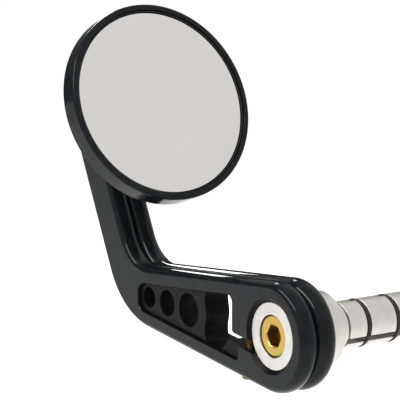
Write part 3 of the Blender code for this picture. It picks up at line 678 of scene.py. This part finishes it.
def arm_crest():
    """Outline of the arm's widest section as (point, outward angle), anticlockwise."""
    half = 0.5 * LIMB_WIDTH
    limb_place = LIMB_END.dot(LIMB_NORMAL)
    inner = meet(TOP_NORMAL, edge_distance(TOP_NORMAL) + ELBOW_INNER_RADIUS,
                 LIMB_NORMAL, limb_place + half + ELBOW_INNER_RADIUS)
    outer = meet(-LIMB_NORMAL, half - limb_place - ELBOW_OUTER_RADIUS,
                 BOTTOM_NORMAL, edge_distance(BOTTOM_NORMAL) - ELBOW_OUTER_RADIUS)
    top = math.pi / 2 + ARM_TAPER
    bottom = -math.pi / 2 - ARM_TAPER
    lean = LIMB_LEAN
    stretches = (
        (END_CENTRE, END_RADIUS, bottom, top, 72),
        (inner, -ELBOW_INNER_RADIUS, top, lean, 24),
        (LIMB_END, half, lean, lean + math.pi, 40),
        (outer, ELBOW_OUTER_RADIUS, lean + math.pi, FULL_TURN + bottom, 24),
    )
    crest = []
    for centre, radius, start, end, steps in stretches:
        for k in range(steps + 1):
            angle = start + (end - start) * k / steps
            crest.append((centre + direction(angle) * radius, angle))
    return crest


def bead_profile(steps=12):
    """(y, inset): each bead rolls tangentially into its face, and the two meet in a vee."""
    quarter = 0.25 * ARM_THICKNESS
    vee = 2.0 * math.atan(VEE_DEPTH / quarter)
    bead_radius = quarter / math.sin(vee)
    front = []
    for k in range(steps + 1):
        angle = 0.5 * math.pi * (1.0 - k / steps)
        y = ARM_FRONT + quarter * (1.0 - math.sin(angle))
        front.append((y, FACE_ROUNDING * (1.0 - math.cos(angle))))
    for k in range(1, steps + 1):
        angle = vee * k / steps
        y = ARM_FRONT + quarter + bead_radius * math.sin(angle)
        front.append((y, bead_radius * (1.0 - math.cos(angle))))
    back = [(2.0 * ARM_MIDDLE - y, inset) for y, inset in reversed(front[:-1])]
    return front + back


def arm_blank():
    build = bmesh.new()
    crest = arm_crest()
    rows = []
    for y, inset in bead_profile():
        row = []
        for point, angle in crest:
            place = point - direction(angle) * inset
            row.append(build.verts.new((place.x, y, place.y)))
        rows.append(row)
    ring_surface(build, rows, closed=False)
    build.faces.new(rows[0])
    build.faces.new(rows[-1])
    return finished("arm_blank", build)


def upper_side(x, distance):
    """Height at x of a line along the lower limb's top edge, this far from the bore's axis."""
    return (distance - TOP_NORMAL.x * x) / TOP_NORMAL.y


def lower_side(x, distance):
    """Height at x of a line along the lower limb's bottom edge, this far from the bore's axis."""
    return (distance - BOTTOM_NORMAL.x * x) / BOTTOM_NORMAL.y


def pocket_outline():
    step = 0.5 * (SLIT_TOP + SLIT_BOTTOM)
    return counterclockwise(rounded_polygon((
        (POCKET_LEFT, upper_side(POCKET_LEFT, POCKET_TOP), 4.2 * MM),
        (POCKET_LEFT, lower_side(POCKET_LEFT, POCKET_BOTTOM), 4.2 * MM),
        (POCKET_LOWER_RIGHT, lower_side(POCKET_LOWER_RIGHT, POCKET_BOTTOM), 1.5 * MM),
        (POCKET_LOWER_RIGHT, lower_side(POCKET_LOWER_RIGHT, step), 0.0),
        (POCKET_RIGHT, lower_side(POCKET_RIGHT, step), 0.0),
        (POCKET_RIGHT, upper_side(POCKET_RIGHT, POCKET_TOP), 3.0 * MM),
    )))


def window_outline():
    """The through window: a left wall milled in two lobes, and the slit that runs on to the bore."""
    inside = 0.05 * MM
    top = POCKET_TOP - inside
    bottom = POCKET_BOTTOM - inside
    lobe = 5.2 * MM
    crown = WINDOW_LEFT + WINDOW_CROWN
    floor_end = -34.0 * MM
    slit_start = -29.0 * MM
    right = POCKET_RIGHT + inside
    return counterclockwise(rounded_polygon((
        (WINDOW_LEFT, upper_side(WINDOW_LEFT, top), 2.5 * MM),
        (WINDOW_LEFT, lobe, 2.0 * MM),
        (crown, WEB_HOLE_HEIGHT, 8.0 * MM),
        (WINDOW_LEFT, -lobe, 1.0 * MM),
        (WINDOW_LEFT, lower_side(WINDOW_LEFT, bottom), 4.0 * MM),
        (floor_end, lower_side(floor_end, bottom), 2.5 * MM),
        (slit_start, lower_side(slit_start, SLIT_BOTTOM), 0.8 * MM),
        (SLIT_END, lower_side(SLIT_END, SLIT_BOTTOM), 0.0),
        (SLIT_END, lower_side(SLIT_END, SLIT_TOP), 0.0),
        (right, lower_side(right, SLIT_TOP), 1.8 * MM),
        (right, upper_side(right, top), 2.9 * MM),
    )))


def stud_reach():
    place = Vector((BALL_CENTRE.x, BALL_CENTRE.z)).dot(LIMB_NORMAL)
    return place - LIMB_END.dot(LIMB_NORMAL) - 0.5 * LIMB_WIDTH


def grub_centre():
    depth = stud_reach() + SPOT_FACE_DEPTH + GRUB_INSET
    return Vector((BALL_CENTRE.x, BALL_CENTRE.z)) - LIMB_NORMAL * depth


def make_arm():
    over = MILLED_OVERRUN
    pocket = pocket_outline()
    before = ARM_FRONT - over
    behind_back = ARM_BACK + over
    tools = [
        prism("pocket_front", pocket, before, ARM_FRONT + POCKET_FRONT_DEPTH, "Y"),
        prism("pocket_front_edge", pocket, before, ARM_FRONT + EDGE_BREAK, "Y", (over, 0.0)),
        prism("pocket_back", pocket, ARM_BACK - POCKET_BACK_DEPTH, behind_back, "Y"),
        prism("pocket_back_edge", pocket, ARM_BACK - EDGE_BREAK, behind_back, "Y", (0.0, over)),
        prism("window", window_outline(), before, behind_back, "Y"),
    ]
    for x, radius in WEB_HOLES:
        circle = arc((x, WEB_HOLE_HEIGHT), radius, 0.0, FULL_TURN, 64)[:-1]
        tools.append(prism("web_hole", circle, before, behind_back, "Y"))
    chamfer_run = BORE_CHAMFER + over
    bore = turned("bore", (
        (0.0, before),
        (BORE_RADIUS + chamfer_run, before),
        (BORE_RADIUS, ARM_FRONT + BORE_CHAMFER),
        (BORE_RADIUS, ARM_BACK - EDGE_BREAK),
        (BORE_RADIUS + EDGE_BREAK + over, behind_back),
        (0.0, behind_back),
    ), 160)
    bore.transform(ALONG_Y)
    tools.append(bore)
    hole_mouth = PINCH_BOTTOM - 5.0 * MM
    hole_end = PINCH_TOP + 1.0 * MM
    for node in ("pinch_screw_outer", "pinch_screw_inner"):
        head_end = PINCH_BOTTOM + PINCH_HEAD_LENGTH + GAP
        hole = turned("pinch_hole", (
            (0.0, hole_mouth),
            (PINCH_HEAD_RADIUS + GAP, hole_mouth),
            (PINCH_HEAD_RADIUS + GAP, head_end),
            (PINCH_RADIUS + GAP, head_end),
            (PINCH_RADIUS + GAP, hole_end),
            (0.0, hole_end),
        ), 48)
        y = 0.5 * (low(node).y + high(node).y)
        hole.transform(Matrix.Translation((PINCH_X, y, 0.0)))
        tools.append(hole)
    face = -stud_reach() - SPOT_FACE_DEPTH
    drilled_to = face - STUD_DEPTH - 1.0 * MM
    clear_of_arm = face + 12.0 * MM
    stud_hole = turned("stud_hole", (
        (0.0, drilled_to),
        (STUD_RADIUS + GAP, drilled_to),
        (STUD_RADIUS + GAP, face),
        (SPOT_FACE_RADIUS, face),
        (SPOT_FACE_RADIUS, clear_of_arm),
        (0.0, clear_of_arm),
    ), 64)
    stud_hole.transform(ON_STUD)
    tools.append(stud_hole)
    grub = arc(grub_centre(), GRUB_RADIUS + GAP, 0.0, FULL_TURN, 40)[:-1]
    tools.append(prism("grub_hole", grub, ARM_MIDDLE, behind_back, "Y"))
    arm = place_piece("mirror_arm", boolean(arm_blank(), tools), "black_anodised", sharp=32.0)
    # The pocket, window, web holes and bore get the milled black: a rougher milled finish with painted shade in
    # these recesses.
    paint_where(arm, "milled_painted_shade_black", lambda point: in_pocket(point) or in_bore(point))


def in_pocket(point):
    """True on the pocket's floor and walls, the window's and the web holes' walls."""
    x = point.x
    in_length = POCKET_LEFT - EDGE_BREAK < x < POCKET_RIGHT + EDGE_BREAK
    bottom = lower_side(x, POCKET_BOTTOM + EDGE_BREAK)
    top = upper_side(x, POCKET_TOP + EDGE_BREAK)
    in_height = bottom < point.z < top
    below_edge = ARM_FRONT + EDGE_BREAK < point.y < ARM_BACK - EDGE_BREAK
    return in_length and in_height and below_edge


def in_bore(point):
    """True on the bore's wall and the chamfer round its mouth."""
    between_faces = ARM_FRONT + 0.1 * MM < point.y < ARM_BACK - 0.1 * MM
    return between_faces and math.hypot(point.x, point.z) < BORE_RADIUS + BORE_CHAMFER


# ---- the head ----------------------------------------------------------------------------------
def behind(depth):
    """Height in the head's own axes of a point this far behind the glass's edge."""
    return BALL_DEPTH - depth


def make_housing():
    seat = behind(GLASS_SEAT)
    plate_seat = behind(RETAINER_SEAT)
    mouth = -math.pi / 2 + SOCKET_MOUTH_ANGLE
    lip_place = (RIM_RADIUS - RIM_LIP_RADIUS, behind(RIM_LIP_RADIUS - RIM_STANDS_PROUD))
    lip = arc(lip_place, RIM_LIP_RADIUS, math.pi / 2, 0.0, 10)
    break_radius = 0.25 * MM
    break_place = (RIM_RECESS_RADIUS + break_radius, behind(break_radius - RIM_STANDS_PROUD))
    inner_break = arc(break_place, break_radius, math.pi, math.pi / 2, 4)
    dome_centre = (0.0, behind(DOME_APEX) + DOME_RADIUS)
    dome_start = math.radians(-60.4)
    dome_end = math.radians(-80.6)
    dome = arc(dome_centre, DOME_RADIUS, dome_start, dome_end, 24)
    boss_root = behind(17.3 * MM)
    boss = softened([
        (BOSS_RADIUS, boss_root),
        (BOSS_RADIUS, BOSS_END),
        (BALL_RADIUS, BOSS_END),
    ], 0.5 * MM, 4)[1:]
    socket = arc((0.0, 0.0), SOCKET_RADIUS, mouth, 0.0, 16)
    slope_inner = 21.0 * MM
    slope_outer = 31.0 * MM
    profile = inner_break + lip
    profile += [
        (RIM_RADIUS, behind(WALL_BACK)),
        (RIM_RADIUS - 0.05 * MM, behind(WALL_BACK + 0.1 * MM)),
        (RIM_RADIUS - 0.45 * MM, behind(WALL_BACK + 0.5 * MM)),
        (RIM_RADIUS - 0.6 * MM, behind(WALL_BACK + 0.55 * MM)),
    ]
    profile += dome
    profile += boss
    profile += socket
    profile += [
        (SOCKET_RADIUS, plate_seat),
        (RETAINER_RADIUS, plate_seat),
        (RETAINER_RADIUS, behind(RETAINER_FRONT)),
        (slope_inner, behind(RETAINER_FRONT)),
        (slope_outer, seat),
        (RIM_RECESS_RADIUS, seat),
    ]
    mesh = turned("housing", profile, 192)
    place_piece("mirror_housing", mesh, "turned_black", IN_HEAD, sharp=30.0)


def make_glass():
    steps = 16
    crown = [
        (GLASS_RADIUS * k / steps, behind(-GLASS_CROWN * (1.0 - (k / steps) ** 2)))
        for k in range(steps)
    ]
    bevel = 0.3 * MM
    profile = crown + [
        (GLASS_RADIUS - bevel, behind(-0.02 * MM)),
        (GLASS_RADIUS, behind(bevel)),
        (GLASS_RADIUS, behind(GLASS_THICKNESS - bevel)),
        (GLASS_RADIUS - bevel, behind(GLASS_THICKNESS)),
        (0.0, behind(GLASS_THICKNESS)),
    ]
    place_piece("mirror_glass", turned("glass", profile, 192), "silvered_glass", IN_HEAD)


def make_gasket():
    inner = GLASS_RADIUS + GAP
    outer = RIM_RECESS_RADIUS - GAP
    middle = 0.5 * (inner + outer)
    section = 0.5 * (outer - inner)
    profile = [(inner, behind(PAD_BACK)), (outer, behind(PAD_BACK))]
    profile += arc((middle, behind(-0.45 * MM)), section, 0.0, math.pi, 8)
    place_piece("glass_gasket", turned("gasket", profile, 192), "black_rubber", IN_HEAD, sharp=60.0)


def make_pad():
    """Thin foam disc behind the glass, with its cut edge rounded by the squeeze."""
    front = GLASS_THICKNESS + GAP
    outline = ((0.0, PAD_BACK), (PAD_RADIUS, PAD_BACK), (PAD_RADIUS, front), (0.0, front))
    profile = softened([(radius, behind(depth)) for radius, depth in outline], 0.45 * MM, 5)
    pad = place_piece("glass_pad", turned("pad", profile, 128), "grey_foam", IN_HEAD)


def make_cups():
    cups = (
        ("ball_cup_rear", SOCKET_MOUTH_ANGLE, math.radians(79.0)),
        ("ball_cup_front", math.radians(97.0), math.radians(133.0)),
    )
    for node, start, end in cups:
        bottom = -math.pi / 2 + start
        top = -math.pi / 2 + end
        profile = arc((0.0, 0.0), CUP_OUTER_RADIUS, bottom, top, 14)
        profile += arc((0.0, 0.0), CUP_INNER_RADIUS, top, bottom, 14)
        place_piece(node, turned(node, softened(profile, 0.15 * MM), 96), "white_nylon", IN_HEAD)


# ---- the ball stud and its washer and grub screw ----------------------------------------------
def chamfered_hex(across_flats, bottom, top, chamfer):
    """A hexagon collar whose corners are turned off at both ends, as on a nut."""
    corner = 0.5 * across_flats / math.cos(math.pi / 6)
    cone = turned("hex_envelope", (
        (0.0, bottom),
        (0.5 * across_flats, bottom),
        (corner + 0.1 * MM, bottom + chamfer),
        (corner + 0.1 * MM, top - chamfer),
        (0.5 * across_flats, top),
        (0.0, top),
    ), 96)
    return boolean(prism("hex", hexagon(across_flats), bottom - MM, top + MM), [cone], "INTERSECT")


def make_stud():
    face = stud_reach() + SPOT_FACE_DEPTH
    collar_back = face - 2.0 * GAP - WASHER_THICKNESS
    collar_front = collar_back - COLLAR_LENGTH
    neck_angle = math.asin(NECK_RADIUS / BALL_RADIUS)
    ball = arc((0.0, 0.0), BALL_RADIUS, math.pi / 2, neck_angle - math.pi / 2, 40)
    ball[0] = (0.0, BALL_RADIUS)
    fillet = 1.2 * MM
    neck = arc((NECK_RADIUS + fillet, -collar_front + fillet), fillet, math.pi, 1.5 * math.pi, 8)
    core = 5.0 * MM                 # inside the hexagon collar that is joined on below
    profile = ball + neck + [
        (core, -collar_front - 0.2 * MM),
        (core, -collar_back + 0.2 * MM),
        (STUD_RADIUS, -collar_back + 0.1 * MM),
        (STUD_RADIUS, -face - STUD_DEPTH + 0.5 * MM),
        (STUD_RADIUS - 0.5 * MM, -face - STUD_DEPTH),
        (0.0, -face - STUD_DEPTH),
    ]
    collar = chamfered_hex(STUD_HEX, -collar_back, -collar_front, 0.7 * MM)
    mesh = boolean(turned("stud", profile, 96), [collar], "UNION")
    place_piece("ball_stud", mesh, "bright_steel", ON_STUD, sharp=25.0)
    washer = softened([
        (STUD_RADIUS + GAP, -face + GAP),
        (WASHER_RADIUS, -face + GAP),
        (WASHER_RADIUS, -face + GAP + WASHER_THICKNESS),
        (STUD_RADIUS + GAP, -face + GAP + WASHER_THICKNESS),
    ], 0.25 * MM)
    place_piece("stud_washer", turned("washer", washer, 96), "bright_steel", ON_STUD)


def make_grub_screw():
    start = low("stud_grub_screw").y
    end = high("stud_grub_screw").y
    place = grub_centre()
    head = [(0.0, start), (GRUB_RADIUS - 0.5 * MM, start), (GRUB_RADIUS, start + 0.4 * MM)]
    thread_start = start + 0.5 * MM
    mesh = threaded("grub", head, thread_start, end - 0.3 * MM, GRUB_RADIUS, PINCH_PITCH, end, 48)
    socket = prism("grub_socket", hexagon(GRUB_KEY), end - 1.8 * MM, end + 1.0 * MM)
    mesh = boolean(mesh, [socket])
    matrix = Matrix.Translation((place.x, 0.0, place.y)) @ ALONG_Y
    place_piece("stud_grub_screw", mesh, "bright_steel", matrix)


# ---- the insert --------------------------------------------------------------------------------
def cone_radius(distance):
    return TAPER_BIG_RADIUS - distance * math.tan(TAPER)


def make_bush():
    seat = WASHER_BACK + GAP
    pocket = SCREW_HEAD_RADIUS + 0.4 * MM
    outline = [
        (pocket, BUSH_FACE),
        (BUSH_RADIUS, BUSH_FACE),
        (BUSH_RADIUS, SHOULDER_FRONT),
        (SHOULDER_RADIUS, SHOULDER_FRONT),
        (SHOULDER_RADIUS, 0.0),
        (SPIGOT_RADIUS, 0.0),
        (SPIGOT_RADIUS, SPIGOT_LENGTH),
        (TAPER_BIG_RADIUS, SPIGOT_LENGTH),
        (cone_radius(TAPER_LENGTH), BUSH_END),
        (SCREW_RADIUS + GAP, BUSH_END),
        (SCREW_RADIUS + GAP, seat),
        (pocket, seat),
    ]
    mesh = turned("bush", softened(outline, 0.35 * MM, 4), 192)
    place_piece("clamp_bush", mesh, "bright_aluminium", ALONG_Y)


def hex_socket(across_flats, face, depth, flare):
    """Cutter for a key socket: a broached hexagon, a drilled cone below it and a lead-in above."""
    corner = 0.5 * across_flats / math.cos(math.pi / 6)
    lead = turned("lead_in", (
        (0.0, face - MM),
        (corner + flare + MM, face - MM),
        (corner - 0.25 * MM, face + flare + 0.25 * MM),
        (0.0, face + flare + 0.25 * MM),
    ), 96)
    drill = turned("drill_point", (
        (0.0, face + 0.5 * depth),
        (0.49 * across_flats, face + 0.5 * depth),
        (0.49 * across_flats, face + depth),
        (0.0, face + depth + 0.25 * across_flats),
    ), 64)
    return [prism("key", hexagon(across_flats), face - MM, face + depth), drill, lead]


def make_main_screw():
    chamfer = 0.45 * MM
    under = SCREW_FACE + SCREW_HEAD_LENGTH
    rim = arc((SCREW_HEAD_RADIUS - chamfer, SCREW_FACE + chamfer), chamfer, -math.pi / 2, 0.0, 6)
    head = [(0.0, SCREW_FACE)] + rim + [
        (SCREW_HEAD_RADIUS, under - 0.2 * MM),
        (SCREW_HEAD_RADIUS - 0.2 * MM, under),
        (SCREW_RADIUS, under),
    ]
    thread_start = 16.0 * MM
    thread_end = SCREW_TIP - MM
    mesh = threaded("main_screw", head, thread_start, thread_end, SCREW_RADIUS, SCREW_PITCH, SCREW_TIP)
    socket_depth = 5.0 * MM
    mesh = boolean(mesh, hex_socket(SCREW_KEY, SCREW_FACE, socket_depth, 0.12 * MM))
    screw = place_piece("main_screw", mesh, "yellow_zinc", ALONG_Y, sharp=40.0)
    # The socket's walls and floor get the darker zinc: painted shade.
    paint_where(screw, "socket_painted_shade_zinc", in_key_socket)


def in_key_socket(point):
    """True on the walls and floor of the main screw's socket, where little light gets in and the darker zinc
    paints shade.
    """
    below_face = SCREW_FACE + 0.2 * MM < point.y < SCREW_FACE + SCREW_HEAD_LENGTH - MM
    return below_face and math.hypot(point.x, point.z) < 0.6 * SCREW_KEY


def make_pinch_screws():
    chamfer = 0.3 * MM
    socket_depth = 2.0 * MM
    under = PINCH_BOTTOM + PINCH_HEAD_LENGTH
    for node in ("pinch_screw_outer", "pinch_screw_inner"):
        rim = arc((PINCH_HEAD_RADIUS - chamfer, PINCH_BOTTOM + chamfer), chamfer, -math.pi / 2, 0.0, 5)
        head = [(0.0, PINCH_BOTTOM)] + rim + [(PINCH_HEAD_RADIUS, under), (PINCH_RADIUS, under)]
        start = under + 2.0 * MM
        end = PINCH_TOP - 0.4 * MM
        mesh = threaded(node, head, start, end, PINCH_RADIUS, PINCH_PITCH, PINCH_TOP, 48)
        mesh = boolean(mesh, hex_socket(PINCH_KEY, PINCH_BOTTOM, socket_depth, 0.08 * MM))
        y = 0.5 * (low(node).y + high(node).y)
        # The whole pinch screw gets the darker zinc: painted shade for a screw that sits in the slit and under the
        # arm.
        place_piece(node, mesh, "pinch_painted_shade_zinc", Matrix.Translation((PINCH_X, y, 0.0)), sharp=40.0)


def make_spring_washer():
    outer = 8.0 * MM
    profile = softened([
        (SCREW_RADIUS + GAP, WASHER_FRONT),
        (outer, WASHER_FRONT),
        (outer, WASHER_BACK),
        (SCREW_RADIUS + GAP, WASHER_BACK),
    ], 0.2 * MM)
    split = math.radians(8.0)
    mesh = turned("spring_washer", profile, 96, split, FULL_TURN - split)
    place_piece("spring_washer", mesh, "bright_steel", ALONG_Y)


def ring_places():
    return [0.5 * (low(node).y + high(node).y) for node in ("collet_ring_front", "collet_ring_rear")]


def make_collet():
    big = TAPER_BIG_RADIUS - (COLLET_START - SPIGOT_LENGTH) * math.tan(TAPER) + GAP / math.cos(TAPER)
    slope = (big - COLLET_INSIDE) / math.tan(TAPER)
    groove = 1.1 * MM
    floor = COLLET_RADIUS - RING_GROOVE_DEPTH
    outline = [(big, COLLET_START), (COLLET_RADIUS, COLLET_START)]
    for middle in ring_places():
        outline += [
            (COLLET_RADIUS, middle - groove),
            (floor, middle - groove),
            (floor, middle + groove),
            (COLLET_RADIUS, middle + groove),
        ]
    outline += [
        (COLLET_RADIUS, COLLET_END),
        (big, COLLET_END),
        (COLLET_INSIDE, COLLET_END - slope),
        (COLLET_INSIDE, COLLET_START + slope),
    ]
    profile = softened(outline, 0.4 * MM, 3)
    half_slot = math.asin(0.5 * COLLET_SLOT / (0.5 * (COLLET_RADIUS + COLLET_INSIDE)))
    for index in range(3):
        node = f"collet_segment_{index + 1}"
        begin = math.radians(90.0 + 120.0 * index) - math.pi / 3 + half_slot
        mesh = turned(node, profile, 40, begin, FULL_TURN / 3 - 2.0 * half_slot)
        place_piece(node, mesh, "bright_aluminium", ALONG_Y)
    for node, middle in zip(("collet_ring_front", "collet_ring_rear"), ring_places()):
        centre = COLLET_RADIUS - RING_GROOVE_DEPTH + GAP + RING_SECTION
        profile = arc((centre, middle), RING_SECTION, 0.0, FULL_TURN, 20)[:-1]
        place_piece(node, turned(node, profile, 128), "black_rubber", ALONG_Y, sharp=80.0)


def make_taper_nut():
    big_end = NUT_START + TAPER_LENGTH
    outline = [
        (SCREW_RADIUS + GAP, NUT_START),
        (cone_radius(TAPER_LENGTH), NUT_START),
        (TAPER_BIG_RADIUS, big_end),
        (NUT_RADIUS, big_end),
        (NUT_RADIUS, NUT_END),
        (SCREW_RADIUS + GAP + 0.4 * MM, NUT_END),
        (SCREW_RADIUS + GAP, NUT_END - 0.4 * MM),
    ]
    mesh = turned("taper_nut", softened(outline, 0.35 * MM, 4), 128)
    place_piece("taper_nut", mesh, "bright_steel", ALONG_Y)


def paint_hidden_nodes():
    """Pieces sealed inside the head keep their CAD meshes and get these materials."""
    inside = ["seat_spring", "retaining_plate"]
    inside += [f"plate_screw_{index + 1}" for index in range(3)]
    for node in inside:
        shape = frame["nodes"][node].data
        shape.materials.clear()
        shape.materials.append(MATERIALS[slot_of_node(node)])


# ---- floor, light and camera ------------------------------------------------------------------
FLOOR_HALF_SIZE = 6.0
FLOOR_DROP = 0.25                       # from the mirror's lowest point to the floor
FLOOR_GLOW = 0.24
ROOM_DARK_SIDE = (0.12, 0.12, 0.12)     # the side the arm points to, which its edges mirror
ROOM_BRIGHT = (1.0, 1.0, 1.0)


def make_floor():
    build = bmesh.new()
    bmesh.ops.create_grid(build, x_segments=1, y_segments=1, size=FLOOR_HALF_SIZE)
    mesh = bpy.data.meshes.new("floor")
    build.to_mesh(mesh)
    build.free()
    floor = bpy.data.objects.new("floor", mesh)
    floor.location.z = CAD_LOW.z - FLOOR_DROP
    shader = Shader("floor", (0.9, 0.9, 0.9), 0.0, 0.8, 0.0)
    shader.roughness_from(shader.noise(3.0), 0.75, 0.9)
    shader.surface.inputs["Emission Color"].default_value = (1.0, 1.0, 1.0, 1.0)
    shader.surface.inputs["Emission Strength"].default_value = FLOOR_GLOW
    mesh.materials.append(shader.material)
    bpy.context.scene.collection.objects.link(floor)


def make_world():
    world = bpy.data.worlds.new("studio")
    world.use_nodes = True
    tree = world.node_tree
    direction_of = tree.nodes.new("ShaderNodeTexCoord")
    split = tree.nodes.new("ShaderNodeSeparateXYZ")
    ramp = tree.nodes.new("ShaderNodeValToRGB")
    shift = tree.nodes.new("ShaderNodeMapRange")
    shift.inputs["From Min"].default_value = -1.0
    shift.inputs["From Max"].default_value = 1.0
    tree.links.new(direction_of.outputs["Generated"], split.inputs["Vector"])
    tree.links.new(split.outputs["X"], shift.inputs["Value"])
    tree.links.new(shift.outputs["Result"], ramp.inputs["Fac"])
    dark, bright = ramp.color_ramp.elements
    dark.position, dark.color = 0.16, (*ROOM_DARK_SIDE, 1.0)
    bright.position, bright.color = 0.30, (*ROOM_BRIGHT, 1.0)
    background = tree.nodes["Background"]
    tree.links.new(ramp.outputs["Color"], background.inputs["Color"])
    background.inputs["Strength"].default_value = 1.0
    bpy.context.scene.world = world


def add_softbox(name, position, aim, width, height, power):
    light = bpy.data.lights.new(name, "AREA")
    light.shape = "RECTANGLE"
    light.size = width
    light.size_y = height
    light.energy = power
    lamp = bpy.data.objects.new(name, light)
    lamp.location = position
    lamp.rotation_euler = (Vector(aim) - Vector(position)).to_track_quat("-Z", "Y").to_euler()
    bpy.context.scene.collection.objects.link(lamp)


def make_camera():
    back = Vector((
        math.sin(VIEW_AZIMUTH) * math.cos(VIEW_ELEVATION),
        -math.cos(VIEW_AZIMUTH) * math.cos(VIEW_ELEVATION),
        math.sin(VIEW_ELEVATION),
    ))
    data = bpy.data.cameras.new("camera")
    data.lens = VIEW_LENS
    data.sensor_width = 36.0
    data.clip_start = 0.01
    data.clip_end = 50.0
    camera = bpy.data.objects.new("camera", data)
    camera.location = VIEW_AIM + back * VIEW_DISTANCE
    camera.rotation_euler = (-back).to_track_quat("-Z", "Y").to_euler()
    bpy.context.scene.collection.objects.link(camera)
    bpy.context.scene.camera = camera


make_camera()
make_arm()
make_housing()
make_glass()
make_gasket()
make_pad()
make_cups()
make_stud()
make_grub_screw()
make_bush()
make_main_screw()
make_pinch_screws()
make_spring_washer()
make_collet()
make_taper_nut()
paint_hidden_nodes()
make_floor()
make_world()
bpy.context.scene.view_settings.view_transform = "Standard"
add_softbox("top_strip", (-0.2, -0.9, 1.0), (-0.05, 0.0, 0.0), 1.2, 0.2, 12.0)
add_softbox("edge_strip", (-1.3, 0.3, 0.85), (-0.06, 0.0, 0.0), 0.35, 0.8, 18.0)
